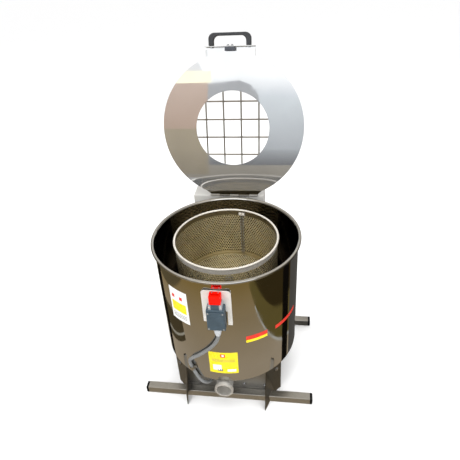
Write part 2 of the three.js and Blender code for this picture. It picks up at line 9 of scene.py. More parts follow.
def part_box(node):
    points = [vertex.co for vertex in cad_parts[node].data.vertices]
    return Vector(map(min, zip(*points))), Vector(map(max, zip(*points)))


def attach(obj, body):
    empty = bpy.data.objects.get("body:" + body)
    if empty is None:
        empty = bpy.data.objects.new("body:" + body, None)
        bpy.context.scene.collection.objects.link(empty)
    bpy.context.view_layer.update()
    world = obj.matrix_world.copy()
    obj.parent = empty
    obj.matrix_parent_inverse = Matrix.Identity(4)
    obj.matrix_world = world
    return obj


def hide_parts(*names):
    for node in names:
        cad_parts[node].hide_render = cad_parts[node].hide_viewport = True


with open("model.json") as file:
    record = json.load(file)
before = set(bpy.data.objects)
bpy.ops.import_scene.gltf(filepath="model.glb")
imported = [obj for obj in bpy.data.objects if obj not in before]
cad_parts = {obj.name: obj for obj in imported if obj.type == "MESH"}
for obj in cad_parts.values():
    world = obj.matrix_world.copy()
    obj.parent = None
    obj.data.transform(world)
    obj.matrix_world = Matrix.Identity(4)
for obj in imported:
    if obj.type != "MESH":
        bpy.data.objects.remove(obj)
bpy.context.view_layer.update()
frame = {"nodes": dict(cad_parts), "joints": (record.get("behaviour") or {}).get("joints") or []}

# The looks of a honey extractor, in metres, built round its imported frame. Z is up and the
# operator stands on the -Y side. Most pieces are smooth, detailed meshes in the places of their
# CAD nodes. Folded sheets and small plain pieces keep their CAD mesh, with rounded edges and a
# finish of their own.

MM = 0.001
TAU = 2 * math.pi

# ---- places read from the frame ----

TANK_LO, TANK_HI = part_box("tank_shell")
AXIS = Vector((0, (TANK_LO.y + TANK_HI.y) / 2, 0))
HINGE_LO, HINGE_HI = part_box("hinge_pin")
HINGE = (HINGE_LO + HINGE_HI) / 2
LID_JOINT = next(j for j in frame["joints"] if j["name"] == "lid_hinge")
LID_OPEN = math.radians(max(LID_JOINT["range_deg"]))
# Lid pieces are made as if the lid were shut, with the hinge line along X at the origin.
LID_PLACE = Matrix.Translation(HINGE) @ Matrix.Rotation(-LID_OPEN, 4, "X")

TANK_R = 250 * MM
BEAD_R = 5.5 * MM
BASKET_R = 180 * MM
BASKET_WALL = 1.8 * MM
LID_R = 262 * MM
WINDOW_R = 136 * MM


def around(degrees, radius, z):
    """A point beside the tank: degrees from the front towards +X, then radius and height."""
    turn = math.radians(degrees)
    return AXIS + Vector((radius * math.sin(turn), -radius * math.cos(turn), z))


def spot(x, y, z):
    """A point given in millimetres from the foot of the tank's axis."""
    return AXIS + Vector((x, y, z)) * MM


def mm(points):
    """The same points, given in millimetres."""
    return [tuple(c * MM for c in p) for p in points]


# ---- shapes ----

class Shape:
    """Corners and faces, each face with the number of its material."""

    def __init__(self, verts=(), faces=(), mark=0):
        self.verts = [Vector(v) for v in verts]
        self.faces = [tuple(f) for f in faces]
        self.marks = [mark] * len(self.faces)

    def join(self, *others):
        for other in others:
            base = len(self.verts)
            self.verts += other.verts
            self.faces += [tuple(i + base for i in f) for f in other.faces]
            self.marks += other.marks
        return self

    def moved(self, matrix):
        made = Shape([matrix @ v for v in self.verts], self.faces)
        made.marks = list(self.marks)
        return made

    def at(self, x, y, z):
        return self.moved(Matrix.Translation((x, y, z)))

    def painted(self, mark):
        self.marks = [mark] * len(self.faces)
        return self


def facing(point, direction):
    """The matrix that stands a shape made along +Z on a point, pointing in a direction."""
    return Matrix.Translation(point) @ Vector(direction).to_track_quat("Z", "Y").to_matrix().to_4x4()


def stood_up(y):
    """The matrix that stands an outline drawn in XY up in XZ, with its foot face at y."""
    return Matrix.Translation((0, y, 0)) @ Matrix.Rotation(math.pi / 2, 4, "X")


def lathe(profile, sides=96, hexed=()):
    """A closed profile of (radius, height) turned about Z. Rings listed in hexed are six-sided."""
    verts, rings = [], []
    for n, (radius, z) in enumerate(profile):
        if radius < 1e-7:
            rings.append([len(verts)])
            verts.append((0, 0, z))
            continue
        ring = []
        for k in range(sides):
            turn = TAU * k / sides
            r = radius
            if n in hexed:
                r *= math.cos(math.pi / 6) / math.cos(turn % (math.pi / 3) - math.pi / 6)
            ring.append(len(verts))
            verts.append((r * math.cos(turn), r * math.sin(turn), z))
        rings.append(ring)
    faces = []
    for a, b in zip(rings, rings[1:] + rings[:1]):
        if len(a) == 1 and len(b) == 1:
            continue
        for k in range(sides):
            n = (k + 1) % sides
            if len(a) == 1:
                faces.append((a[0], b[n], b[k]))
            elif len(b) == 1:
                faces.append((a[k], a[n], b[0]))
            else:
                faces.append((a[k], a[n], b[n], b[k]))
    return Shape(verts, faces)


def sweep(path, section, up=None, loop=False, scale=None):
    """A closed (across, up) section carried along a path. up is fixed, or turns with the path."""
    path = [Vector(p) for p in path]
    count = len(path)
    verts, rings = [], []
    lift = Vector(up) if up else None
    for n, p in enumerate(path):
        before = path[n - 1] if n or loop else p
        after = path[(n + 1) % count] if n < count - 1 or loop else p
        along = (after - before).normalized()
        if lift is None:
            lift = along.orthogonal()
        side = along.cross(lift).normalized()
        over = side.cross(along).normalized()
        if up is None:
            lift = over
        grow = scale[n] if scale else 1
        rings.append(list(range(len(verts), len(verts) + len(section))))
        verts += [p + side * (a * grow) + over * (b * grow) for a, b in section]
    faces = []
    pairs = list(zip(rings, rings[1:])) + ([(rings[-1], rings[0])] if loop else [])
    for a, b in pairs:
        for k in range(len(section)):
            m = (k + 1) % len(section)
            faces.append((a[k], a[m], b[m], b[k]))
    if not loop:
        faces += [tuple(reversed(rings[0])), tuple(rings[-1])]
    return Shape(verts, faces)


def hollow(path, outer, inner, up=None):
    """A tube along a path, between two closed sections with equally many points."""
    skin, bore = sweep(path, outer, up), sweep(path, inner, up)
    count, base = len(outer), len(skin.verts)
    walls = base - count
    faces = skin.faces[:walls] + [tuple(i + base for i in reversed(f)) for f in bore.faces[:walls]]
    for start in (0, walls):
        for k in range(count):
            n = (k + 1) % count
            faces.append((start + k, start + n, base + start + n, base + start + k))
    return Shape(skin.verts + bore.verts, faces)


def circle(radius, sides=16):
    return [(radius * math.cos(TAU * k / sides), radius * math.sin(TAU * k / sides))
            for k in range(sides)]


def arc(x, y, radius, start, end, steps):
    """Points on an arc, in degrees."""
    turns = [math.radians(start + (end - start) * k / steps) for k in range(steps + 1)]
    return [(x + radius * math.cos(t), y + radius * math.sin(t)) for t in turns]


def rounded(w, h, radius, steps=5):
    """A rectangle with round corners, centred on the origin."""
    x, y = w / 2 - radius, h / 2 - radius
    corners = ((x, y, 0), (-x, y, 90), (-x, -y, 180), (x, -y, 270))
    return [p for cx, cy, turn in corners for p in arc(cx, cy, radius, turn, turn + 90, steps)]


def bevelled(shape, width, segments=2, angle=40):
    """The shape with every edge sharper than an angle rounded off."""
    bm = bmesh.new()
    verts = [bm.verts.new(v) for v in shape.verts]
    for face, mark in zip(shape.faces, shape.marks):
        bm.faces.new([verts[i] for i in face]).material_index = mark
    bmesh.ops.recalc_face_normals(bm, faces=bm.faces)
    edges = [e for e in bm.edges if e.is_manifold and e.calc_face_angle(0) > math.radians(angle)]
    bmesh.ops.bevel(bm, geom=edges, offset=width, segments=segments, profile=0.5,
                    affect="EDGES", clamp_overlap=True)
    bm.verts.index_update()
    made = Shape([v.co.copy() for v in bm.verts], [[v.index for v in f.verts] for f in bm.faces])
    made.marks = [f.material_index for f in bm.faces]
    bm.free()
    return made


def block(lo, hi, bevel=0.5 * MM, segments=2):
    """A box between two corners with rounded edges."""
    (x0, y0, z0), (x1, y1, z1) = lo, hi
    verts = [(x, y, z) for z in (z0, z1) for y in (y0, y1) for x in (x0, x1)]
    faces = [(0, 2, 3, 1), (4, 5, 7, 6), (0, 1, 5, 4), (2, 6, 7, 3), (0, 4, 6, 2), (1, 3, 7, 5)]
    return bevelled(Shape(verts, faces), bevel, segments)


def prism(outline, depth, bevel=0.4 * MM, segments=2):
    """An outline in XY raised by a depth along Z, with rounded edges."""
    n = len(outline)
    verts = [(x, y, 0) for x, y in outline] + [(x, y, depth) for x, y in outline]
    sides = [(k, (k + 1) % n, n + (k + 1) % n, n + k) for k in range(n)]
    made = Shape(verts, [tuple(reversed(range(n))), tuple(range(n, 2 * n)), *sides])
    return bevelled(made, bevel, segments) if bevel else made


def plate(loops, thickness, bevel=0.3 * MM):
    """A flat sheet in XY, from an outer loop and any holes, with softly rounded edges."""
    curve = bpy.data.curves.new("outline", "CURVE")
    curve.dimensions, curve.fill_mode = "2D", "BOTH"
    curve.extrude, curve.bevel_depth, curve.bevel_resolution = thickness / 2 - bevel, bevel, 1
    curve.offset = -bevel
    for loop in loops:
        spline = curve.splines.new("POLY")
        spline.points.add(len(loop) - 1)
        for point, (x, y) in zip(spline.points, loop):
            point.co = (x, y, 0, 1)
        spline.use_cyclic_u = True
    holder = bpy.data.objects.new("outline", curve)
    bpy.context.scene.collection.objects.link(holder)
    mesh = bpy.data.meshes.new_from_object(holder)
    bm = bmesh.new()
    bm.from_mesh(mesh)
    bmesh.ops.remove_doubles(bm, verts=bm.verts, dist=0.01 * MM)
    bm.verts.index_update()
    made = Shape([v.co.copy() for v in bm.verts], [[v.index for v in f.verts] for f in bm.faces])
    bm.free()
    bpy.data.objects.remove(holder)
    bpy.data.curves.remove(curve)
    bpy.data.meshes.remove(mesh)
    return made


def smooth_curve(points, steps):
    """A centripetal Catmull-Rom curve through the points."""
    pts = [Vector(p) for p in points]
    pts = [2 * pts[0] - pts[1], *pts, 2 * pts[-1] - pts[-2]]
    made = []
    for a, b, c, d in zip(pts, pts[1:], pts[2:], pts[3:]):
        t1 = math.sqrt((b - a).length)
        t2 = t1 + math.sqrt((c - b).length)
        t3 = t2 + math.sqrt((d - c).length)
        for k in range(steps):
            t = t1 + (t2 - t1) * k / steps
            ab = a * ((t1 - t) / t1) + b * (t / t1)
            bc = b * ((t2 - t) / (t2 - t1)) + c * ((t - t1) / (t2 - t1))
            cd = c * ((t3 - t) / (t3 - t2)) + d * ((t - t2) / (t3 - t2))
            abc = ab * ((t2 - t) / t2) + bc * (t / t2)
            bcd = bc * ((t3 - t) / (t3 - t1)) + cd * ((t - t1) / (t3 - t1))
            made.append(abc * ((t2 - t) / (t2 - t1)) + bcd * ((t - t1) / (t2 - t1)))
    return made + [pts[-2]]


# ---- putting pieces in the scene ----

SHARP = math.radians(32)  # edges sharper than this stay sharp
MANY_FACES = 60000  # above this, a piece goes without weighted normals


def piece(name, shape, finish, replaces=(), place=None, body="frame"):
    """Makes a shape a named piece that rides on a body, in one finish or a list of them."""
    mesh = bpy.data.meshes.new(name)
    if place is not None:
        shape = shape.moved(place)
    mesh.from_pydata([tuple(v) for v in shape.verts], [], shape.faces)
    for polygon, mark in zip(mesh.polygons, shape.marks):
        polygon.material_index = mark
    bm = bmesh.new()
    bm.from_mesh(mesh)
    bmesh.ops.recalc_face_normals(bm, faces=bm.faces)
    bm.to_mesh(mesh)
    bm.free()
    mesh.shade_smooth()
    mesh.set_sharp_from_angle(angle=SHARP)
    for look in finish if isinstance(finish, (list, tuple)) else [finish]:
        mesh.materials.append(look)
    made = bpy.data.objects.new(name, mesh)
    bpy.context.scene.collection.objects.link(made)
    if len(mesh.polygons) < MANY_FACES:
        made.modifiers.new("flat faces stay flat", "WEIGHTED_NORMAL").keep_sharp = True
    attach(made, body)
    if replaces:
        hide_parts(*replaces)
    return made


def carve(target, *cutters):
    """Cuts closed shapes out of a piece's mesh."""
    for n, cutter in enumerate(cutters):
        tool = piece(f"cutter_{n}", cutter, [])
        cut = target.modifiers.new("cut", "BOOLEAN")
        cut.operation, cut.object, cut.solver = "DIFFERENCE", tool, "EXACT"
        bpy.context.view_layer.update()
        shown = target.evaluated_get(bpy.context.evaluated_depsgraph_get())
        mesh = bpy.data.meshes.new_from_object(shown)
        target.modifiers.remove(cut)
        target.data = mesh
        bpy.data.objects.remove(tool)
    target.data.shade_smooth()
    target.data.set_sharp_from_angle(angle=SHARP)
    return target


# ---- finishes ----

def node(tree, kind, inputs, **settings):
    """A new shader node, with each input linked to a socket or set to a value."""
    made = tree.nodes.new("ShaderNode" + kind)
    for name, value in settings.items():
        setattr(made, name, value)
    for name, value in inputs.items():
        if isinstance(value, bpy.types.NodeSocket):
            tree.links.new(value, made.inputs[name])
        else:
            made.inputs[name].default_value = value
    return made


class Finish:
    """A material made of a Principled shader and noise patterns in the object's own space."""

    def __init__(self, name, colour, metallic=0.0, roughness=0.5, **sockets):
        self.material = bpy.data.materials.new(name)
        self.material.use_nodes = True
        self.material.diffuse_color = (*colour, 1)
        self.tree = self.material.node_tree
        self.shader = self.tree.nodes["Principled BSDF"]
        sockets |= {"Base_Color": (*colour, 1), "Metallic": metallic, "Roughness": roughness}
        for socket, value in sockets.items():
            self.shader.inputs[socket.replace("_", " ")].default_value = value
        self.place = node(self.tree, "TexCoord", {}).outputs["Object"]
        self.height = None

    def noise(self, scale, stretch=(1, 1, 1), detail=4, rough=0.55):
        spread = node(self.tree, "Mapping", {"Scale": stretch, "Vector": self.place})
        return node(self.tree, "TexNoise", {
            "Scale": scale, "Detail": detail, "Roughness": rough,
            "Vector": spread.outputs["Vector"],
        }).outputs["Fac"]

    def ramp(self, factor, *stops):
        """A colour ramp over (position, colour) stops. A plain number is a grey."""
        ramp = node(self.tree, "ValToRGB", {"Fac": factor})
        elements = ramp.color_ramp.elements
        while len(elements) < len(stops):
            elements.new(0.5)
        for element, (position, colour) in zip(elements, stops):
            element.position = position
            element.color = (colour,) * 3 + (1,) if isinstance(colour, (int, float)) else (*colour, 1)
        return ramp.outputs["Color"]

    def colour(self, factor, *stops):
        self.tree.links.new(self.ramp(factor, *stops), self.shader.inputs["Base Color"])

    def roughness(self, factor, *stops):
        self.tree.links.new(self.ramp(factor, *stops), self.shader.inputs["Roughness"])

    def bump(self, factor, depth, strength=1.0):
        """Adds relief of a depth in metres."""
        relief = {"Distance": depth, "Strength": strength, "Height": factor}
        if self.height is not None:
            relief["Normal"] = self.height
        self.height = node(self.tree, "Bump", relief).outputs["Normal"]
        self.tree.links.new(self.height, self.shader.inputs["Normal"])

    def roll(self, low, high, depth):
        """A sheet that leans back a little towards its fixed edge, between two heights."""
        split = node(self.tree, "SeparateXYZ", {"Vector": self.place})
        share = node(self.tree, "MapRange",
                     {"From Min": high, "From Max": low, "Value": split.outputs["Z"]})
        power = node(self.tree, "Math", {0: share.outputs["Result"], 1: 1.5}, operation="POWER")
        rise = node(self.tree, "Math", {0: 1.0, 1: power.outputs["Value"]}, operation="SUBTRACT")
        self.bump(rise.outputs["Value"], depth)


def tinted(colour, amount):
    return tuple(max(0.0, min(1.0, c * amount)) for c in colour)


def polished(name, colour, low=0.04, high=0.16, wave=0.25 * MM, metallic=1.0):
    """Mirror-polished sheet: soft waves, wiping smears, fine scratches, faint water spots."""
    look = Finish(name, colour, metallic, low)
    smear = look.noise(5, (1, 1, 2.5), 6, 0.6)
    look.colour(look.noise(4, detail=3), (0.3, tinted(colour, 0.93)), (0.7, tinted(colour, 1.05)))
    look.roughness(smear, (0.38, low), (0.6, (low + high) / 2), (0.82, high))
    look.bump(look.noise(3.2, detail=1), wave, 0.5)
    look.bump(look.noise(420, (1, 1, 0.05), 2), 0.01 * MM, 0.25)
    return look


def brushed(name, colour, along=(0.02, 1, 1), low=0.22, high=0.42, metallic=1.0):
    """Satin sheet brushed along one axis, with darker handling marks."""
    look = Finish(name, colour, metallic, low)
    grain = look.noise(700, along, 3, 0.7)
    look.colour(look.noise(9, detail=5), (0.3, tinted(colour, 0.8)), (0.55, colour),
                (0.8, tinted(colour, 1.08)))
    look.roughness(grain, (0.3, low), (0.7, high))
    look.bump(grain, 0.02 * MM, 0.35)
    return look.material


def cast(name, colour):
    """Painted casting: pebbled skin and worn, dusty patches."""
    look = Finish(name, colour, 0.2, 0.5)
    look.colour(look.noise(22, detail=6), (0.3, tinted(colour, 0.75)), (0.7, tinted(colour, 1.2)))
    look.roughness(look.noise(60), (0.3, 0.42), (0.7, 0.68))
    look.bump(look.noise(420, detail=3), 0.08 * MM, 0.6)
    return look.material


def powder_coat(name, colour):
    """Powder-coated sheet: fine orange peel and light grime."""
    look = Finish(name, colour, 0.0, 0.4)
    look.colour(look.noise(6, detail=7), (0.3, tinted(colour, 0.9)), (0.7, tinted(colour, 1.03)))
    look.roughness(look.noise(30), (0.3, 0.33), (0.7, 0.5))
    look.bump(look.noise(900, detail=2), 0.03 * MM, 0.5)
    return look.material


def moulded(name, colour, rough=0.42, grain=0.03 * MM, scale=1400, **sockets):
    """Moulded plastic: spark-eroded grain, faint sink marks and rubbed shine."""
    look = Finish(name, colour, 0.0, rough, **sockets)
    look.colour(look.noise(30, detail=5), (0.3, tinted(colour, 0.86)), (0.7, tinted(colour, 1.12)))
    look.roughness(look.noise(55, detail=5), (0.35, rough - 0.08), (0.7, rough + 0.14))
    look.bump(look.noise(scale, detail=2), grain, 0.5)
    look.bump(look.noise(40, detail=1), 0.05 * MM, 0.3)
    return look.material


def printed(name, colour):
    """Vinyl label: slight mottling and a soft gloss."""
    look = Finish(name, colour, 0.0, 0.3)
    look.colour(look.noise(60, detail=4), (0.35, tinted(colour, 0.93)), (0.7, tinted(colour, 1.02)))
    look.roughness(look.noise(25), (0.3, 0.22), (0.7, 0.4))
    look.bump(look.noise(250, detail=2), 0.01 * MM, 0.3)
    return look.material


mirror = polished("mirror_steel", (0.62, 0.605, 0.57)).material
# The tank's mirror steel darkened for its inside: painted shade.
shaded_inner_mirror = polished("inner_mirror_painted_shade", (0.36, 0.33, 0.28), 0.03, 0.12).material
lid_mirror = polished("lid_mirror_steel", (0.7, 0.7, 0.69), 0.02, 0.09, 0.12 * MM, 0.85)
lid_mirror.roll(HINGE.z + 20 * MM, HINGE.z + 180 * MM, 8.5 * MM)
lid_mirror = lid_mirror.material
satin_x = brushed("satin_steel_along", (0.5, 0.485, 0.45))
satin_z = brushed("satin_steel_upright", (0.58, 0.565, 0.53), (1, 1, 0.02))
dull_x = brushed("dull_steel_along", (0.44, 0.43, 0.41), (0.02, 1, 1), 0.3, 0.5)
# Near-black brushed steel for the legs under the tank: painted shade.
leg_shade_steel = brushed("leg_steel_painted_shade", (0.13, 0.125, 0.108), (1, 1, 0.02), 0.26, 0.44)
# The lid's steel darkened for the hinge leaf at its neck: a painted dark reflection.
neck_dark_reflection = polished("neck_mirror_painted_reflection", (0.26, 0.245, 0.22), 0.03, 0.1, 0.12 * MM).material
pipe_steel = brushed("pipe_steel", (0.66, 0.64, 0.6), (1, 1, 0.05), 0.25, 0.4, 0.6)
sheet_steel = brushed("bracket_sheet_steel", (0.88, 0.86, 0.82), (1, 1, 0.05), 0.3, 0.42, 0.3)
band_steel = brushed("band_steel", (0.78, 0.74, 0.67), (1, 1, 1), 0.2, 0.3, 0.45)
# The band's steel darkened for its inner face: painted shade.
shaded_inner_band = brushed("inner_band_painted_shade", (0.36, 0.32, 0.24), (1, 1, 1), 0.25, 0.4)
strip_steel = brushed("strip_steel", (0.3, 0.28, 0.22), (1, 1, 0.05), 0.3, 0.45)
rod_steel = brushed("rod_steel", (0.4, 0.36, 0.3), (1, 1, 1), 0.35, 0.5)
shaft = brushed("shaft_steel", (0.5, 0.51, 0.52), (1, 1, 0.05), 0.18, 0.32)
holed = brushed("perforated_steel", (0.88, 0.77, 0.5), (1, 1, 1), 0.24, 0.38, 0.75)
# Near-black steel for the walls of the holes: painted shade.
hole_wall_shade = brushed("hole_wall_painted_shade", (0.06, 0.05, 0.03), (1, 1, 1), 0.4, 0.55)
floor_plate = brushed("basket_floor_plate", (0.62, 0.54, 0.35), (1, 1, 1), 0.3, 0.45)
weld = Finish("weld_bead", (0.4, 0.37, 0.33), 1.0, 0.4)
weld.colour(weld.noise(120, detail=4), (0.3, (0.3, 0.24, 0.2)), (0.7, (0.55, 0.53, 0.5)))
weld.bump(weld.noise(500, detail=3), 0.15 * MM, 0.8)
weld = weld.material
casting = cast("cast_metal", (0.06, 0.065, 0.078))
coated = powder_coat("pale_sheet", (0.5, 0.49, 0.465))
black = moulded("black_plastic", (0.022, 0.023, 0.026))
slate = moulded("slate_plastic", (0.047, 0.075, 0.098), 0.36)
red = moulded("red_plastic", (0.9, 0.008, 0.002), 0.4, 0.015 * MM, Specular_IOR_Level=0.04)
green = moulded("green_plastic", (0.02, 0.26, 0.07), 0.3, 0.015 * MM)
grey_hose = moulded("grey_conduit", (0.19, 0.195, 0.195), 0.45)
pale = moulded("pale_plastic", (0.5, 0.52, 0.54), 0.4)
plug_black = moulded("plug_plastic", (0.005, 0.005, 0.006), 0.55, 0.02 * MM, Specular_IOR_Level=0.12)
shoulder_grey = moulded("grey_plastic", (0.28, 0.29, 0.31), 0.3)
rubber = moulded("rubber", (0.012, 0.012, 0.012), 0.75, 0.08 * MM, 700)
white_print = printed("white_print", (0.82, 0.82, 0.8))
yellow_print = printed("yellow_print", (0.86, 0.7, 0.01))
red_print = printed("red_print", (0.7, 0.03, 0.015))
grey_print = printed("grey_print", (0.16, 0.16, 0.15))


# ---- fasteners and welds ----

def screw(head=4.5 * MM, high=2.4 * MM):
    """A domed screw with a hexagon socket, standing on Z = 0."""
    socket = head * 0.5
    return lathe([
        (0, high * 0.35), (socket, high * 0.35), (socket, high * 0.98), (socket * 1.12, high),
        (head * 0.72, high * 0.9), (head * 0.93, high * 0.6), (head, high * 0.2),
        (head, -0.2 * MM), (0, -0.2 * MM),
    ], 24, (1, 2, 3))


def hex_bolt(across=6.5 * MM, high=4.5 * MM):
    """A hexagon head on a washer, standing on Z = 0."""
    top = lathe([(0, high + 1.2 * MM), (across * 0.8, high + 1.2 * MM),
                 (across, high + 0.5 * MM), (across, 1.2 * MM), (0, 1.2 * MM)], 24, (1, 2, 3))
    washer = lathe([(0, 1.3 * MM), (across * 1.45, 1.3 * MM), (across * 1.5, 1.1 * MM),
                    (across * 1.5, -0.2 * MM), (0, -0.2 * MM)], 32)
    return top.join(washer)


def studs(kind, spots):
    """Copies of a fastener at (point, direction) spots, as one shape."""
    return Shape().join(*[kind.moved(facing(p, d)) for p, d in spots])


def bead(path, radius=1.6 * MM, ripple=0.22, loop=False):
    """A weld bead along a path, with ripples."""
    grow = [1 + ripple * math.sin(2.1 * n) for n in range(len(path))]
    return sweep(path, circle(radius, 10), loop=loop, scale=grow)


# ---- tank ----

TANK = Matrix.Translation(AXIS)


def mark_inside(shape, radius, top=math.inf):
    """Marks 1 the faces that lie within a radius of the axis and below a height."""
    shape.marks = [int(all(math.hypot(x, y) < radius and z < top for x, y, z in
                           (shape.verts[i] for i in face))) for face in shape.faces]


def tank():
    """The rolled shell with its rim bead, an upright weld, and the sloped pan inside it."""
    r, wall, low, rim = 250, 2, TANK_LO.z / MM, TANK_HI.z / MM
    bead_r = BEAD_R / MM
    centre = (r + bead_r - 1, rim - bead_r)
    shell = mm([
        (r - wall, low + 0.6), (r - wall + 0.5, low), (r - 0.5, low), (r, low + 0.6),
        (r, rim - 14), *arc(*centre, bead_r, -145, 152, 26), (r - wall, rim - bead_r),
        (r - wall, rim - 40),
    ])
    body = lathe(shell, 288)
    # Faces inside the shell take the darkened steel, painted shade for the tank's inside.
    mark_inside(body, (r - wall + 0.6) * MM)
    piece("tank_body", body, [mirror, shaded_inner_mirror], ["tank_shell"], TANK)

    seam = [around(158, TANK_R + 0.2 * MM, z * MM) for z in range(int(low) + 3, int(rim) - 12, 2)]
    piece("tank_seam_weld", bead(seam, 1.5 * MM), weld)

    floor_lo, floor_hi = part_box("tank_floor")
    edge, crown = floor_lo.z / MM, floor_hi.z / MM
    pan = lathe(mm([
        (30.4, crown - 2), (30.4, crown), (69, crown), (73, crown - 1), (229, edge + 2.6),
        (233, edge + 2), (247, edge + 2), (247, edge), (232, edge), (70, crown - 2),
    ]), 160)
    made = piece("tank_floor_pan", pan, dull_x, ["tank_floor"], TANK)
    hole = lathe(mm([(0, 100), (30.3, 100), (30.3, 220), (0, 220)]), 64)
    carve(made, hole.moved(Matrix.Translation(spot(0, -214, 0))))
    ring = [around(n * 1.5, 247 * MM, (edge + 2) * MM) for n in range(240)]
    piece("tank_floor_weld", bead(ring, 1.2 * MM, loop=True), weld)


def outlet():
    """A short elbow from the pan to a threaded mouth at the front."""
    y, z, bend, mouth = -214, 118, 34, -268
    path = [(0, y, 168), (0, y, z + bend + 1)]
    path += [(0, a, b) for a, b in arc(y - bend, z + bend, bend, 0, -90, 16)]
    path += [(0, y - bend - 6, z), (0, mouth, z)]
    path = [spot(*p) for p in path]
    elbow = hollow(path, circle(30 * MM, 56), circle(27.5 * MM, 56), (1, 0, 0))
    piece("outlet_pipe", elbow, pipe_steel, ["outlet_elbow"])
    thread = [(30.3, 0.6), (30.8, 0), (32.6, 0), (33.5, 0.8)]
    for n in range(4):
        thread += [(33.5, 1.6 + 2.3 * n), (32.5, 2.4 + 2.3 * n), (33.5, 3.2 + 2.3 * n)]
    thread += [(33.4, 11), (31.4, 13), (30.3, 13)]
    ring = lathe(mm(thread), 72).moved(facing(spot(0, mouth, z), (0, 1, 0)))
    piece("outlet_mouth_ring", ring, pipe_steel, ["outlet_ring"])
    collar = [spot(30.6 * math.cos(t), y + 30.6 * math.sin(t), 155.2)
              for t in (TAU * n / 90 for n in range(90))]
    piece("outlet_weld", bead(collar, 1.6 * MM, loop=True), weld)


# ---- stand ----

# The front right leg, in millimetres from the foot of the tank's axis. The others mirror it.
LEG_CREASE = ((148.5, -196.3, 150), (176.8, -169.4, 3))
LEG_BOLT = (183.6, -162.7, 128)
LEG_WELD = ((168.5, -185, 30.6), (158.1, -215, 30.6))

def foot_bars():
    """Two square tubes with pillowed end plugs."""
    for side in ("front", "rear"):
        lo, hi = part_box(f"{side}_foot_bar")
        middle = (lo + hi) / 2
        size = hi.z - lo.z
        ends = [Vector((x, middle.y, middle.z)) for x in (lo.x, hi.x)]
        bore = size - 4 * MM
        made = hollow(ends, rounded(size, size, 3 * MM), rounded(bore, bore, 1 * MM), (0, 0, 1))
        piece(f"{side}_foot_tube", made, satin_x, [f"{side}_foot_bar"])
        for hand, way in (("left", -1), ("right", 1)):
            name = f"{side}_{hand}_end_plug"
            plug_lo, plug_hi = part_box(name)
            tip = plug_hi.x if way > 0 else plug_lo.x
            face = way * (hi.x + 0.3 * MM)
            steps = [(face - way * 18 * MM, 0.8), (face - way * 0.05 * MM, 0.8), (face, 0.97),
                     (face + way * 0.6 * MM, 1), (tip - way * 2.2 * MM, 1),
                     (tip - way * 0.8 * MM, 0.95), (tip, 0.82)]
            cap = sweep([(x, middle.y, middle.z) for x, _ in steps],
                        rounded(size, size, 3.2 * MM), (0, 0, 1), scale=[s for _, s in steps])
            piece(f"{name}_cap", cap, plug_black, [name])


def soften(node, finish, width=0.5 * MM, segments=2):
    """Keeps a CAD node, with its edges rounded and a finish of its own."""
    made = frame["nodes"][node]
    made.data.materials.clear()
    made.data.materials.append(finish)
    round_off = made.modifiers.new("edges", "BEVEL")
    round_off.width, round_off.segments = width, segments
    round_off.limit_method, round_off.angle_limit = "ANGLE", math.radians(40)
    return made


def stand():
    """The folded legs with their welds and bolts, and the drive bay between the foot bars."""
    for side, sy in (("front", 1), ("rear", -1)):
        for hand, sx in (("right", 1), ("left", -1)):
            # The legs and their folds take the darkened steel, painted shade under the tank.
            soften(f"{side}_{hand}_leg", leg_shade_steel, 0.6 * MM)
            crease, ends = ([spot(sx * x, sy * y, z) for x, y, z in line]
                            for line in (LEG_CREASE, LEG_WELD))
            fold = sweep(crease, circle(1.9 * MM, 14))
            piece(f"{side}_{hand}_leg_fold", fold, leg_shade_steel)
            out = Vector((sx, -sy, 0)).normalized()
            x, y, z = LEG_BOLT
            spots = [(spot(sx * x, sy * y, z) + out * 1.6 * MM, out)]
            piece(f"{side}_{hand}_leg_bolt", studs(hex_bolt(5 * MM, 3.6 * MM), spots), shaft)
            line = [ends[0].lerp(ends[1], n / 11) for n in range(12)]
            piece(f"{side}_{hand}_leg_weld", bead(line, 1.5 * MM), weld)
    soften("base_plate", dull_x, 0.5 * MM)
    soften("drive_bay_skirt", dull_x, 0.7 * MM)
    soften("bay_grommet", black, 0.6 * MM)
    soften("belt_duct", dull_x, 0.6 * MM)
    front = [(spot(x, -175, z), (0, -1, 0)) for x in (-110, 62, 140) for z in (128, 42)]
    back = [(spot(x, 175, z), (0, 1, 0)) for x in (-140, -62, 62, 140) for z in (128, 42)]
    piece("bay_bolts", studs(hex_bolt(4.6 * MM, 3.2 * MM), front + back), shaft)


# ---- basket ----

HOLE_R = 3.35 * MM
HOLE_COLUMNS, HOLE_ROWS = 124, 22
HOLE_PITCH = TAU * BASKET_R / HOLE_COLUMNS
BASKET_LAP = 168  # the bearing of the wall's joint, from the front


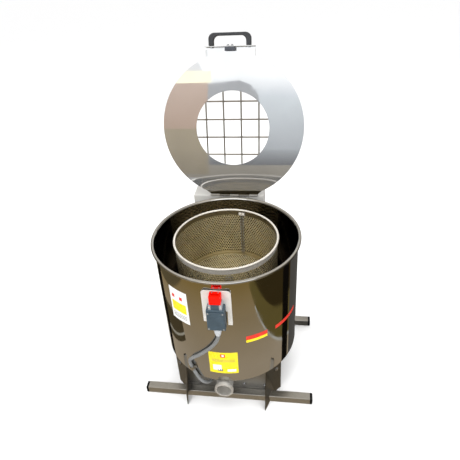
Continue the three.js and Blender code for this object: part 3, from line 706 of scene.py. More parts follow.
def perforated(columns, rows, pitch, step, thickness, place, wrap, inside=None):
    """A closed sheet of staggered round holes. place(u, v, depth) puts its points in space.

    Walls of holes are marked 1, to carry painted shade in the holes. wrap joins the last column to the
    first."""
    ring = [(2, 1), (2, 2), (1, 2), (0, 2), (-1, 2), (-2, 2),
            (-2, 1), (-2, 0), (-1, 0), (0, 0), (1, 0), (2, 0)]
    span = 4 * columns
    verts, faces, marks, corners, uses = [], [], [], {}, {}

    def corner(i, j, back):
        key = (i % span if wrap else i, j, back)
        if key not in corners:
            corners[key] = len(verts)
            verts.append(place(i * pitch / 4, j * step / 2, thickness * back))
        return corners[key]

    for row in range(rows):
        for column in range(columns):
            i, j = 4 * column + 2 + 2 * (row % 2), 2 * row
            u, v = i * pitch / 4, (j + 1) * step / 2
            if inside and not inside(u, v):
                continue
            rims = []
            for back in (0, 1):
                rim = len(verts)
                verts.extend(place(u + x, v + y, thickness * back) for x, y in circle(HOLE_R, 12))
                rims.append(rim)
            for k in range(12):
                n = (k + 1) % 12
                a, b = (i + ring[k][0], j + ring[k][1]), (i + ring[n][0], j + ring[n][1])
                faces.append((corner(*a, 0), corner(*b, 0), rims[0] + n, rims[0] + k))
                faces.append((corner(*b, 1), corner(*a, 1), rims[1] + k, rims[1] + n))
                faces.append((rims[0] + k, rims[0] + n, rims[1] + n, rims[1] + k))
                marks += [0, 0, 1]
                uses[corner(*a, 0), corner(*b, 0)] = (corner(*a, 1), corner(*b, 1))
    for (a, b), (c, d) in uses.items():
        if (b, a) not in uses:
            faces.append((b, a, c, d))
            marks.append(0)
    made = Shape(verts, faces)
    made.marks = marks
    return made


def basket_piece(name, shape, finish, replaced, turn=Matrix()):
    """A piece of the basket, made about the tank's axis, in the place of one CAD node."""
    piece(name, shape, finish, [replaced], TANK @ turn, "basket")


def basket_wall():
    """The perforated wall, rolled into a cylinder."""
    lo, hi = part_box("basket_wall")

    def on_wall(u, v, depth):
        turn = u / BASKET_R
        r = BASKET_R - depth
        return (r * math.sin(turn), -r * math.cos(turn), lo.z + v)

    step = (hi.z - lo.z) / HOLE_ROWS
    wall = perforated(HOLE_COLUMNS, HOLE_ROWS, HOLE_PITCH, step, BASKET_WALL, on_wall, True)
    basket_piece("basket_perforated_wall", wall, [holed, hole_wall_shade], "basket_wall")


def basket_floor():
    """The perforated floor, with a plain middle and a turned-up border."""
    lo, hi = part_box("basket_floor")
    radius = hi.x
    step = HOLE_PITCH * math.sqrt(3) / 2
    across = int(2 * radius / HOLE_PITCH)
    deep = int(2 * radius / step)

    def on_floor(u, v, depth):
        return (u - across * HOLE_PITCH / 2, v - deep * step / 2, lo.z + depth)

    def kept(u, v):
        x, y, _ = on_floor(u, v, 0)
        return 62 * MM < math.hypot(x, y) < radius - 7 * MM

    floor = perforated(across, deep, HOLE_PITCH, step, hi.z - lo.z, on_floor, False, kept)
    middle = lathe(mm([(12.4, 409.6), (68, 409.6), (69, 410.2), (69, 411.6), (68, 412.4),
                       (12.4, 412.4)]), 72)
    border = lathe(mm([(160, 409.4), (177.6, 409.4), (177.6, 420), (176.4, 420), (176, 413.2),
                       (175, 412.4), (160.6, 412.4), (160, 411.8)]), 144)
    floor.join(middle.painted(2), border.painted(2))
    basket_piece("basket_perforated_floor", floor, [holed, hole_wall_shade, floor_plate],
                 "basket_floor")


def basket_band():
    """The plain band round the basket's rim, rolled into a bead and dimpled by its spot welds."""
    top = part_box("basket_band")[1].z
    rim, r, bead_r = top / MM, BASKET_R / MM, 4
    band = mm([
        (r - 1.8, rim - 25), (r - 1.4, rim - 25.3), (r - 0.2, rim - 25.3), (r + 0.2, rim - 24.8),
        (r + 0.2, rim - 10), *arc(r + 0.5, rim - bead_r, bead_r, -105, 172, 22),
        (r - 1.8, rim - bead_r - 2),
    ])
    spots = [(around(7.5 + 15 * n, BASKET_R + 0.2 * MM, (rim - 19) * MM) - AXIS,
              around(7.5 + 15 * n, 1, 0) - AXIS) for n in range(24)]
    dimple = lathe(mm([(0, 0.35), (1.6, 0.25), (2.4, -0.1), (0, -0.1)]), 14)
    rolled = lathe(band, 240)
    # Inner faces of the band take the darkened steel, painted shade inside the basket.
    mark_inside(rolled, BASKET_R - 1 * MM, top - 5 * MM)
    basket_piece("basket_rim_band", rolled.join(studs(dimple, spots)), [band_steel, shaded_inner_band],
                 "basket_band")


def basket_lap():
    """The strip over the wall's joint, and the clamp plate at its head."""
    strip_r = 175.6 * MM
    turn = Matrix.Rotation(math.radians(BASKET_LAP), 4, "Z")
    strip_lo, strip_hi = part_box("basket_lap_strip")
    strip = block((-7 * MM, -strip_r - 0.6 * MM, strip_lo.z), (7 * MM, -strip_r + 0.6 * MM, strip_hi.z))
    strip.join(block((-2.2 * MM, -strip_r, strip_lo.z + 1 * MM),
                     (2.2 * MM, -strip_r + 1.7 * MM, strip_hi.z - 1 * MM), 0.6 * MM))
    rivet = lathe(mm([(0, 1.3), (1.2, 1.1), (2, 0.5), (2.2, -0.2), (0, -0.2)]), 14)
    rivets = [(Vector((x * MM, -strip_r + 0.6 * MM, z * MM)), (0, 1, 0))
              for x in (-4.8, 4.8) for z in range(420, 580, 13)]
    strip.join(studs(rivet, rivets).painted(1))
    basket_piece("basket_lap_seam", strip, [strip_steel, band_steel], "basket_lap_strip",
                 turn)
    clamp_lo, clamp_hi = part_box("basket_clamp_plate")
    clamp = block((-12 * MM, -176.4 * MM, clamp_lo.z), (12 * MM, -174.6 * MM, clamp_hi.z),
                  0.7 * MM, 3)
    middle = (clamp_lo.z + clamp_hi.z) / 2
    heads = [(Vector((x * MM, -174.7 * MM, middle)), (0, 1, 0)) for x in (-6, 6)]
    clamp.join(studs(screw(3.4 * MM, 2.4 * MM), heads))
    basket_piece("basket_clamp", clamp, band_steel, "basket_clamp_plate", turn)


def basket_drive():
    """The hub, the spindle and the belt wheel that turn the basket."""
    hub = lathe(mm([
        (12.4, 340), (22, 340), (24, 342), (24, 388), (28, 397), (40, 402), (60, 404.6), (62, 406),
        (62, 409.2), (12.4, 409.2),
    ]), 72)
    basket_piece("basket_hub_casting", hub, casting, "basket_hub")
    nut = lathe(mm([(12.4, 412.5), (15.6, 412.5), (16.9, 413.6), (16.9, 420.8), (15.4, 422), (12.4, 422)]),
                48, (2, 3))
    basket_piece("basket_hub_nut", nut, satin_z, "basket_nut")
    low, top = (corner.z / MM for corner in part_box("spindle"))
    rod = lathe(mm([
        (0, low), (11, low), (12, low + 1.2), (12, top - 14), (11.3, top - 13), (11.3, top - 1.5),
        (10, top), (3, top), (0, top - 3),
    ]), 64)
    basket_piece("basket_spindle", rod, shaft, "spindle")
    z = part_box("driven_wheel")[0].z / MM
    wheel = lathe(mm([
        (12.4, z), (27, z), (28, z + 1), (28, z + 12), (60, z + 12), (60, z + 8), (73, z + 8),
        (73, z + 9.5), (70, z + 11), (70, z + 25), (73, z + 26.5), (73, z + 28), (60, z + 28),
        (60, z + 18), (28, z + 18), (28, z + 31), (27, z + 32), (12.4, z + 32),
    ]), 96)
    basket_piece("driven_belt_wheel", wheel, casting, "driven_wheel")
    soften("wheel_nut", satin_z, 0.5 * MM)


# ---- hidden machinery ----

def machinery():
    """The drive inside the housing and under the tank."""
    housing = lathe(mm([
        (25, 160), (29, 160), (30, 161), (30, 206), (44, 206), (44, 213.7), (30, 213.7), (30, 260),
        (29, 262), (25, 262), (25, 248), (16, 248), (16, 174), (25, 174),
    ]), 72)
    piece("bearing_carrier", housing, casting, ["bearing_housing"], TANK)
    for name, z in (("lower_bearing", 161), ("upper_bearing", 249)):
        race = lathe(mm([(12.5, z), (16, z), (16.4, z + 0.8), (20.6, z + 0.8), (21, z), (24.3, z),
                         (24.3, z + 12), (21, z + 12), (20.6, z + 11.2), (16.4, z + 11.2),
                         (16, z + 12), (12.5, z + 12)]), 64)
        piece(f"{name}_race", race, shaft, [name], TANK)
    motor_lo, motor_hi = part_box("motor")
    middle = (motor_lo + motor_hi) / 2
    z = motor_lo.z / MM
    fins = []
    for n in range(14):
        fins += [(38.2, z + 10 + 8 * n), (40, z + 11 + 8 * n), (40, z + 14 + 8 * n), (38.2, z + 15 + 8 * n)]
    body = lathe(mm([(7.6, z), (37, z), (39, z + 4), *fins, (39, z + 128), (34, z + 142),
                     (0, z + 142), (0, z + 20), (7.6, z + 20)]), 72)
    piece("motor_body", body, casting, ["motor"],
          Matrix.Translation((middle.x, middle.y, 0)))
    soften("drive_belt", rubber, 0.8 * MM)
    soften("motor_shelf", satin_x)
    soften("lower_tank_saddle", satin_x)
    soften("upper_tank_saddle", satin_x)
    soften("motor_pulley", casting, 0.3 * MM)
    soften("motor_shaft", shaft, 0.4 * MM)


# ---- rear housing and its controls ----

PANEL_FACE = AXIS.y + 359.6 * MM

def housing():
    """The painted housing behind the tank, its cover screws and louvres."""
    soften("rear_housing", coated, 1.2 * MM, 3)
    soften("rear_cover", coated, 0.8 * MM)
    lo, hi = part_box("rear_cover")
    face = hi.y
    rows = 5
    spots = [(Vector((x, face, lo.z + (hi.z - lo.z) * (0.04 + 0.92 * n / (rows - 1)))), (0, 1, 0))
             for x in (lo.x + 9 * MM, hi.x - 9 * MM) for n in range(rows)]
    piece("rear_cover_screws", studs(screw(4 * MM, 2.2 * MM), spots), shaft)
    louvres = Shape()
    for n in range(8):
        z = lo.z + (165 + 14 * n) * MM
        hood = mm([(-0.3, 0), (5.5, -2), (6, -1), (1, 8.5), (-0.3, 9)])
        ends = [Vector((x * MM, face, z)) for x in (-105, 55)]
        louvres.join(bevelled(sweep(ends, [(-a, b) for a, b in hood], (0, 0, 1)), 0.5 * MM))
    piece("rear_cover_louvres", louvres, coated)


def control_panel():
    """The dark panel, its screws, and the gland of the mains lead."""
    panel_lo, panel_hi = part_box("control_panel")
    top = panel_hi.y
    soften("control_panel", black, 0.8 * MM)
    soften("mains_gland", black, 0.8 * MM)
    corners = [(Vector((x, top - 3.9 * MM, z)), (0, 1, 0))
               for x in (panel_lo.x + 8 * MM, panel_hi.x - 8 * MM)
               for z in (panel_lo.z + 8 * MM, panel_hi.z - 8 * MM)]
    piece("control_panel_screws", studs(screw(3.4 * MM, 2 * MM), corners), shaft)


def speed_control():
    """The fluted speed knob and the ticks of its dial."""
    speed_lo, speed_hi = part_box("speed_knob")
    centre = (speed_lo + speed_hi) / 2
    cap_r = (speed_hi.x - speed_lo.x) / 2
    base = PANEL_FACE
    ticks = Shape()
    for n in range(11):
        turn = math.radians(-135 + 27 * n)
        long = 4.5 if n % 5 == 0 else 3
        tick = block((-0.5 * MM, 20 * MM, -0.1 * MM), (0.5 * MM, (20 + long) * MM, 0.3 * MM), 0.05 * MM)
        face_out = facing(Vector((centre.x, base, centre.z)), (0, 1, 0))
        ticks.join(tick.moved(face_out @ Matrix.Rotation(turn, 4, "Z")))
    piece("speed_scale_ticks", ticks, white_print)
    rim = [(x * (0.985 + 0.015 * math.cos(24 * TAU * k / 192)),
            y * (0.985 + 0.015 * math.cos(24 * TAU * k / 192)))
           for k, (x, y) in enumerate(circle(cap_r, 192))]
    steps = [(0.8, 0.99), (1.2, 1), (11, 0.95), (13.6, 0.91), (14.8, 0.84)]
    path = [(centre.x, base + y * MM, centre.z) for y, _ in steps]
    knob = sweep(path, rim, (0, 0, 1), scale=[s for _, s in steps])
    knob.join(sweep([(centre.x, 345.5 * MM + AXIS.y, centre.z), (centre.x, base + 1 * MM, centre.z)],
                    circle(5 * MM, 24), (0, 0, 1)))
    mark = block((centre.x - 1.1 * MM, base + 14.4 * MM, centre.z + 2 * MM),
                 (centre.x + 1.1 * MM, base + 15.4 * MM, centre.z + cap_r * 0.8), 0.2 * MM)
    piece("speed_knob_cap", knob.join(mark.painted(1)), [black, white_print],
          ["speed_knob"], body="speed_knob")


def push_buttons():
    """The flush start button and the domed stop button."""
    for name, look, slot in (("start", green, "green_plastic"), ("stop", red, "red_plastic")):
        cap_lo, cap_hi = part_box(f"{name}_button")
        centre = (cap_lo + cap_hi) / 2
        r, deep = (cap_hi.x - cap_lo.x) / 2 / MM, (cap_hi.y - cap_lo.y) / MM
        crown = 1.6 if name == "stop" else 0.5
        cap = lathe(mm([
            (0, 0), (4.6, 0), (5, 0.5), (5, deep - 6.2), (r - 1.5, deep - 6), (r, deep - 4.6),
            (r, deep - 2.6), (r - 0.8, deep - 1.2), (r * 0.8, deep - crown * 0.35 - 0.2),
            (r * 0.4, deep - 0.05), (0, deep),
        ]), 72)
        where = facing(Vector((centre.x, cap_lo.y, centre.z)), (0, 1, 0))
        piece(f"{name}_button_cap", cap, look, [f"{name}_button"], where, f"{name}_button")


# ---- guard switch and conduit ----

def guard_bracket():
    """The folded sheet on the front of the tank that carries the guard switch."""
    lo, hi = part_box("switch_bracket")
    half, top = hi.x / MM, hi.z / MM
    left, right = 452, lo.z / MM
    face = mm([
        (-half, left), *arc(-half + 12, top - 12, 12, 180, 90, 8), *arc(half - 12, top - 12, 12, 90, 0, 8),
        (half, right), (half - 14, right), *arc(half - 18, 496, 4, 0, 90, 4),
        *arc(-half + 18, 496, 4, 90, 180, 4), (-half + 14, left),
    ])
    bracket = prism(face, 2 * MM, 0.9 * MM, 3).moved(stood_up(lo.y + 2 * MM))
    for side, low in ((-1, left), (1, right)):
        a, b = sorted((side * half, side * (half - 2)))
        bracket.join(block((a * MM, lo.y + 1 * MM, low * MM), (b * MM, hi.y, (top - 9) * MM), 0.7 * MM))
    piece("guard_bracket", bracket, sheet_steel, ["switch_bracket"])
    rivet = lathe(mm([(0, 1.1), (2, 0.9), (3, 0.2), (3, -0.2), (0, -0.2)]), 24)
    spots = [(Vector((x * MM, lo.y, z * MM)), (0, -1, 0))
             for x, z in ((-39, 560), (39, 560), (-39, 466), (39, 454))]
    piece("guard_bracket_rivets", studs(rivet, spots), sheet_steel)


def guard_switch():
    """The switch's ribbed body with its pale shoulders, its cover and its screws."""
    lo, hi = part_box("switch_body")
    step = 532.7 * MM
    body = block((lo.x, lo.y, lo.z), (hi.x, hi.y, step), 2.6 * MM, 4)
    body.join(block((-14 * MM, lo.y + 4 * MM, step - 4 * MM), (14 * MM, hi.y, hi.z), 0.8 * MM, 3))
    for side in (-1, 1):
        left, right = sorted((side * 12.5 * MM, side * 22 * MM))
        shoulder = block((left, lo.y + 3 * MM, step - 4 * MM), (right, hi.y, hi.z), 2.4 * MM, 4)
        body.join(shoulder.painted(1))
        for n in range(5):
            z = lo.z + (18 + 11 * n) * MM
            x = side * (hi.x - 0.4 * MM)
            body.join(block((min(x, x + side * 0.4 * MM), lo.y + 8 * MM, z),
                            (max(x, x + side * 0.4 * MM), hi.y - 4 * MM, z + 5 * MM), 0.15 * MM))
    piece("guard_switch_body", body, [slate, shoulder_grey], ["switch_body"])
    neck = [(Vector((x * MM, lo.y + 3 * MM, 543 * MM)), (0, -1, 0)) for x in (-17, 17)]
    cover_lo, cover_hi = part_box("switch_cover")
    frame_w, frame_h = cover_hi.x - cover_lo.x, cover_hi.z - cover_lo.z
    cover = block(tuple(cover_lo + Vector((0, 0.4 * MM, 0))), tuple(cover_hi), 1.3 * MM, 3)
    centre = (cover_lo + cover_hi) / 2
    lip = sweep([Vector((centre.x + a, cover_lo.y + 0.6 * MM, centre.z + b))
                 for a, b in rounded(frame_w - 9 * MM, frame_h - 24 * MM, 3 * MM)],
                circle(0.6 * MM, 8), (0, 1, 0), loop=True)
    pad = block((centre.x - 17 * MM, cover_lo.y + 0.1 * MM, centre.z - 14 * MM),
                (centre.x + 17 * MM, cover_lo.y + 1 * MM, centre.z + 16 * MM), 0.3 * MM)
    piece("guard_switch_cover", cover.join(lip, pad), slate, ["switch_cover"])
    corners = [(Vector((x, cover_lo.y + 1.6 * MM, z)), (0, -1, 0))
               for x in (cover_lo.x + 4.6 * MM, cover_hi.x - 4.6 * MM)
               for z in (cover_lo.z + 5 * MM, cover_hi.z - 5 * MM)]
    piece("guard_switch_screws", studs(screw(3 * MM, 1.6 * MM), corners + neck),
          band_steel)


def guard_head():
    """The red head with the slot for the lid's key."""
    lo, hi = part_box("switch_head")
    made = piece("guard_switch_head", block(tuple(lo), tuple(hi), 2 * MM, 4), red, ["switch_head"])
    key_y = -269 * MM + AXIS.y
    carve(made, block((-13.5 * MM, key_y - 5 * MM, hi.z - 22 * MM),
                      (13.5 * MM, key_y + 4 * MM, hi.z + 6 * MM), 0.8 * MM))
    ridge = block((lo.x + 1 * MM, lo.y + 1.4 * MM, hi.z - 6.6 * MM),
                  (hi.x - 1 * MM, lo.y + 3.4 * MM, hi.z - 5.2 * MM), 0.4 * MM)
    piece("guard_switch_head_ridge", ridge, red)
    tops = [(Vector((x * MM, -260.4 * MM + AXIS.y, hi.z - 0.2 * MM)), (0, 0, 1)) for x in (-10, 10)]
    piece("guard_head_screws", studs(screw(2.6 * MM, 0.6 * MM), tops), shaft)


def switch_gland():
    """The cable gland under the switch, with its hexagon nut."""
    lo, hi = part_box("switch_gland")
    centre = (lo + hi) / 2
    top, low = hi.z / MM, lo.z / MM
    gland = lathe(mm([
        (6.9, low), (8.3, low), (8.9, low + 1), (10.4, low + 8), (12, low + 17.5), (12, low + 19),
        (13.4, low + 19.6), (14.4, low + 20.6), (14.4, low + 29), (13.4, low + 30), (11.6, low + 30.6),
        (11.2, top - 0.5), (10.6, top), (0, top), (0, top - 8), (6.9, top - 8),
    ]), 96, (6, 7, 8, 9))
    piece("switch_cable_gland", gland, pale, ["switch_gland"],
          Matrix.Translation((centre.x, centre.y, 0)))


CONDUIT_R = 6.5 * MM
# Straight out of the gland, in to the tank's wall, round under the clip and into the drive bay.
CONDUIT_ROUTE = [
    spot(0, -271, 437), spot(0, -271, 421), spot(0, -271, 405), around(-1, 0.2695, 0.388),
    around(-4.5, 0.2635, 0.352), around(-10.5, 0.2582, 0.314), around(-18.5, 0.2574, 0.274),
    around(-25.5, 0.2574, 0.242), around(-28.6, 0.2574, 0.216), around(-26.6, 0.2574, 0.190),
    around(-23.4, 0.2574, 0.160), around(-19.5, 0.255, 0.133), around(-15.6, 0.243, 0.115),
    around(-13.6, 0.224, 0.109), around(-14, 0.206, 0.114), spot(-50, -184, 117),
    spot(-50, -168, 117),
]


def conduit():
    """The ribbed conduit from the guard switch to the drive bay."""
    rib = 3.2 * MM
    fine = smooth_curve(CONDUIT_ROUTE, 60)
    lengths = [0.0]
    for a, b in zip(fine, fine[1:]):
        lengths.append(lengths[-1] + (b - a).length)
    path, scale, n = [], [], 0
    steps = int(lengths[-1] / (rib / 6))
    for k in range(steps + 1):
        want = lengths[-1] * k / steps
        while n < len(fine) - 2 and lengths[n + 1] < want:
            n += 1
        share = (want - lengths[n]) / max(lengths[n + 1] - lengths[n], 1e-9)
        path.append(fine[n].lerp(fine[n + 1], share))
        scale.append(0.985 + 0.015 * math.cos(TAU * k / 6))
    hose = sweep(path, circle(CONDUIT_R, 24), scale=scale)
    piece("guard_switch_conduit", hose, grey_hose, ["switch_conduit"])


def conduit_saddle():
    """The saddle clip that holds the conduit, its two screws and one more in the tank."""
    inner, ear, rise = 7.5, 17, 7.4
    omega = mm([
        (-ear, 0.6), (-inner - 1.5, 0.6), *arc(-inner - 1.5, 2.1, 1.5, -90, 0, 4)[1:],
        *arc(0, rise, inner, 180, 0, 20), *arc(inner + 1.5, 2.1, 1.5, 180, 270, 4), (ear, 0.6),
        (ear, 2.2), (inner + 3, 2.2), *arc(0, rise, inner + 1.7, 0, 180, 20), (-inner - 3, 2.2),
        (-ear, 2.2),
    ])
    at = around(-26.4, TANK_R, 0.188)
    out = ((at - AXIS) * Vector((1, 1, 0))).normalized()
    along = around(-25, 0.257, 0.175) - around(-28, 0.257, 0.202)
    run = (along - out * along.dot(out)).normalized()
    across = out.cross(run).normalized()
    basis = Matrix((across, out, run)).transposed().to_4x4()
    stand_on = Matrix.Translation(at) @ basis
    clip = prism(omega, 12 * MM, 0.3 * MM).at(0, 0, -6 * MM).moved(stand_on)
    piece("conduit_saddle", clip, satin_z, ["conduit_clip"])
    heads = [(stand_on @ Vector((x * MM, 2.1 * MM, 0)), out) for x in (-13.2, 13.2)]
    heads.append((around(-34.4, TANK_R, 0.221), around(-34.4, 1, 0) - AXIS))
    piece("tank_front_screws", studs(screw(3.4 * MM, 2.2 * MM), heads), shaft)


# ---- lid and hinge ----

LID_CENTRE = HINGE.y - AXIS.y  # from the hinge line to the middle of the disc
LID_CHORD = 21 * MM  # from the hinge line to the disc's straight rear edge
LID_UNDER = -5.3 * MM  # the sheet's underside, from the hinge line
LID_SHEET = 2 * MM

KNUCKLES = {"fixed": ((-92, -58), (-17, 17), (58, 92)), "moving": ((-57.5, -17.5), (17.5, 57.5))}


def knuckles(kind):
    """Rolled hinge barrels along X, round the pin."""
    made = Shape()
    for start, end in KNUCKLES[kind]:
        tube = lathe(mm([(2.8, start), (4.2, start), (4.5, start + 0.4), (4.5, end - 0.4), (4.2, end),
                         (2.8, end)]), 40)
        made.join(tube.moved(Matrix.Rotation(math.pi / 2, 4, "Y")))
    return made


def fixed_hinge():
    """The hinge's leaf on the housing, and its pin."""
    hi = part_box("hinge_fixed_leaf")[1]
    half = 92 * MM
    low = -6.2 * MM
    leaf = block((-half, 6 * MM, low), (half, 46 * MM, low + 2 * MM), 0.5 * MM)
    leaf.join(block((-60 * MM, 5.6 * MM, low), (60 * MM, 7.6 * MM, hi.z - HINGE.z), 0.5 * MM))
    for start, end in KNUCKLES["fixed"]:
        leaf.join(block((start * MM, 1 * MM, low), (end * MM, 8 * MM, low + 2 * MM), 0.3 * MM))
    leaf.join(knuckles("fixed"))
    piece("hinge_base_leaf", leaf, satin_x, ["hinge_fixed_leaf"],
          Matrix.Translation(HINGE))
    spots = [(HINGE + Vector((x, 30, -4.2)) * MM, (0, 0, 1)) for x in (-75, -38, 38, 75)]
    piece("hinge_leaf_bolts", studs(hex_bolt(4.4 * MM, 3.4 * MM), spots), shaft)
    pin = lathe(mm([(0, -94), (2, -94), (2.4, -93.5), (2.4, 93.5), (2, 94), (0, 94)]), 32)
    piece("hinge_pin_rod", pin, shaft, ["hinge_pin"],
          Matrix.Translation(HINGE) @ Matrix.Rotation(math.pi / 2, 4, "Y"))


def moving_hinge():
    """The hinge's leaf that carries the lid."""
    wing = mm([(-92, -6), (92, -6), (110, -21), (110, -46), (-110, -46), (-110, -21)])
    moving = prism(wing, 2 * MM, 0.4 * MM).at(0, 0, -3 * MM)
    for start, end in KNUCKLES["moving"]:
        moving.join(block((start * MM, -8 * MM, -3 * MM), (end * MM, -1 * MM, -1 * MM), 0.3 * MM))
    moving.join(knuckles("moving"))
    # The leaf's steel is darkened as a painted dark reflection.
    lid_piece("lid_hinge_leaf", moving, neck_dark_reflection, "mirror_steel", "hinge_moving_leaf")
    spots = [(Vector((x, -36, -1)) * MM, (0, 0, 1)) for x in (-90, -30, 30, 90)]
    lid_piece("lid_hinge_bolts", studs(screw(4.2 * MM, 2.4 * MM), spots), shaft, "satin_steel")


def lid_piece(name, shape, finish, slot, *replaced):
    """A piece of the lid, made as if the lid were shut."""
    piece(name, shape, finish, replaced, LID_PLACE, "lid")


def lid_panel():
    """The mirror disc with its round window, its front tab and the tab's turned-down flange."""
    start = math.degrees(math.acos((LID_CENTRE - LID_CHORD) / LID_R))
    tab_half, tab_end = 87 * MM, 536 * MM
    tab = math.degrees(math.asin((tab_half + 5 * MM) / LID_R))
    inside_r = 8 * MM
    notch = -LID_CENTRE - LID_R * math.cos(math.radians(tab)) - 6 * MM
    outer = [
        *arc(0, -LID_CENTRE, LID_R, 90 - start, -90 + tab, 130),
        *arc(tab_half + inside_r, notch, inside_r, 100, 180, 6),
        (tab_half, -tab_end), (-tab_half, -tab_end),
        *arc(-tab_half - inside_r, notch, inside_r, 0, 80, 6),
        *arc(0, -LID_CENTRE, LID_R, -90 - tab, -270 + start, 130),
    ]
    window = arc(0, -LID_CENTRE, WINDOW_R, 0, 360, 180)[:-1]
    panel = plate([outer, window], LID_SHEET, 0.25 * MM).at(0, 0, LID_UNDER + LID_SHEET / 2)
    bend = mm([(536, -3.3), *arc(538, -8.3, 5, 90, 0, 8), (543, -29.6), (542.6, -30), (541.4, -30),
               (541, -29.6), *arc(538, -8.3, 3, 0, 90, 8), (536, -5.3)])
    flange = sweep([(-tab_half, 0, 0), (tab_half, 0, 0)], bend, (0, 0, 1))
    panel.join(flange)
    for side in (-1, 1):
        a, b = sorted((side * tab_half, side * (tab_half - 2 * MM)))
        panel.join(block((a, -532 * MM, LID_UNDER - 10 * MM),
                         (b, -510 * MM, LID_UNDER + 0.6 * MM), 0.5 * MM))
    lid_piece("lid_panel", panel, lid_mirror, "mirror_steel", "lid_sheet")


def window_grid():
    """Two layers of crossing rods over the window, and the welds at their ends."""
    top = LID_UNDER + LID_SHEET
    rod = 2.75 * MM
    first = top + 0.3 * MM + rod
    second = first + 2 * rod - 0.6 * MM
    grid, blobs = Shape(), Shape()
    blob = lathe(mm([(0, 1.7), (1.6, 1.3), (3, 0.2), (3.4, -1.2), (0, -1.2)]), 16)
    blob = blob.moved(Matrix.Diagonal((1.5, 1, 0.9, 1)))
    cross = lathe(mm([(0, 1.4), (1.8, 1.2), (3.3, 0), (1.8, -1.2), (0, -1.4)]), 14)
    offsets = [n * 65 * MM for n in (-1.5, -0.5, 0.5, 1.5)]
    for o in offsets:
        reach = math.sqrt(WINDOW_R ** 2 - o ** 2) + 9 * MM
        along = [-reach, -reach + 0.8 * MM, -reach + 2 * MM, reach - 2 * MM, reach - 0.8 * MM, reach]
        scale = [0.55, 0.9, 1, 1, 0.9, 0.55]
        upright_rod = [(o, -LID_CENTRE + t, first) for t in along]
        level_rod = [(t, -LID_CENTRE - o, second) for t in along]
        for path in (upright_rod, level_rod):
            grid.join(sweep(path, circle(rod, 20), (0, 0, 1), scale=scale))
        for end in (reach - 5 * MM, 5 * MM - reach):
            blobs.join(blob.at(o, -LID_CENTRE + end, top + 0.6 * MM))
            blobs.join(blob.at(end, -LID_CENTRE - o, top + 1.2 * MM))
        for p in offsets:
            grid.join(cross.at(o, -LID_CENTRE - p, (first + second) / 2))
    lid_piece("feed_window_bars", grid, rod_steel, "satin_steel", "window_grid")
    lid_piece("feed_window_welds", blobs, weld, "satin_steel")


def lid_fittings():
    """The bow handle on the flange, and the key that enters the guard switch."""
    half, reach, leg, grip, turn = 73.5, 42, 17, 10, 20
    inner = turn - 3
    face = -543.3
    palm, back = face - reach + grip + inner, face - reach + turn
    bow = mm([
        (-half, face), (-half + leg, face),
        *arc(-half + leg + inner, palm, inner, 180, 270, 12),
        *arc(half - leg - inner, palm, inner, 270, 360, 12),
        (half - leg, face), (half, face),
        *arc(half - turn, back, turn, 0, -90, 12),
        *arc(-half + turn, back, turn, 270, 180, 12),
    ])
    handle = prism(bow, 22 * MM, 2.6 * MM, 4).at(0, 0, -29 * MM)
    lid_piece("lid_bow_handle", handle, black, "black_plastic", "lid_handle")
    inside = [(Vector((x, -540.9, -18)) * MM, (0, 1, 0)) for x in (-65, 65)]
    lid_piece("lid_handle_screws", studs(hex_bolt(4.4 * MM, 3 * MM), inside), shaft, "satin_steel")

    key = block(*mm([(-16.5, -540.5, -40), (16.5, -526.5, -9)]), 1.2 * MM, 3)
    fork = mm([(-12, -39), (-12, -56), (-10.5, -58), (-5.5, -58), (-4, -56.5),
               *arc(0, -49.5, 4, 180, 0, 10),
               (4, -56.5), (5.5, -58), (10.5, -58), (12, -56), (12, -39)])
    key.join(prism(fork, 2.9 * MM, 0.5 * MM).moved(stood_up(-526.6 * MM)))
    key.join(block(*mm([(-12.6, -527.2, -36), (12.6, -525.8, -13)]), 0.4 * MM))
    lid_piece("guard_key_block", key, casting, "cast_metal", "guard_key")
    nuts = [(Vector((x, -543, -18)) * MM, (0, -1, 0)) for x in (-7, 7)]
    lid_piece("guard_key_nuts", studs(hex_bolt(3.4 * MM, 4 * MM), nuts), shaft, "satin_steel")


# ---- labels ----

def patch(start, end, low, high, lift, thick=0.12 * MM):
    """A thin curved label on the tank between two angles and two heights."""
    steps = max(2, int(abs(end - start) / 1.5))
    turns = [start + (end - start) * n / steps for n in range(steps + 1)]
    verts, faces = [], []
    for turn in turns:
        for radius in (TANK_R + lift, TANK_R + lift + thick):
            verts += [around(turn, radius, low), around(turn, radius, high)]
    for n in range(steps):
        a, b = 4 * n, 4 * n + 4
        faces += [(a, b, b + 1, a + 1), (a + 2, a + 3, b + 3, b + 2),
                  (a, a + 2, b + 2, b), (a + 1, b + 1, b + 3, a + 3)]
    last = 4 * steps
    faces += [(0, 1, 3, 2), (last, last + 2, last + 3, last + 1)]
    return Shape(verts, faces)


def label(name, start, end, low, high, looks, blocks):
    """A label with plain blocks printed on it: (left, right, bottom, top) shares, and a colour."""
    made = patch(start, end, low, high, 0.05 * MM)
    for left, right, bottom, top, mark in blocks:
        made.join(patch(start + (end - start) * left, start + (end - start) * right,
                        low + (high - low) * bottom, low + (high - low) * top,
                        0.18 * MM, 0.05 * MM).painted(mark))
    piece(name, made, looks)


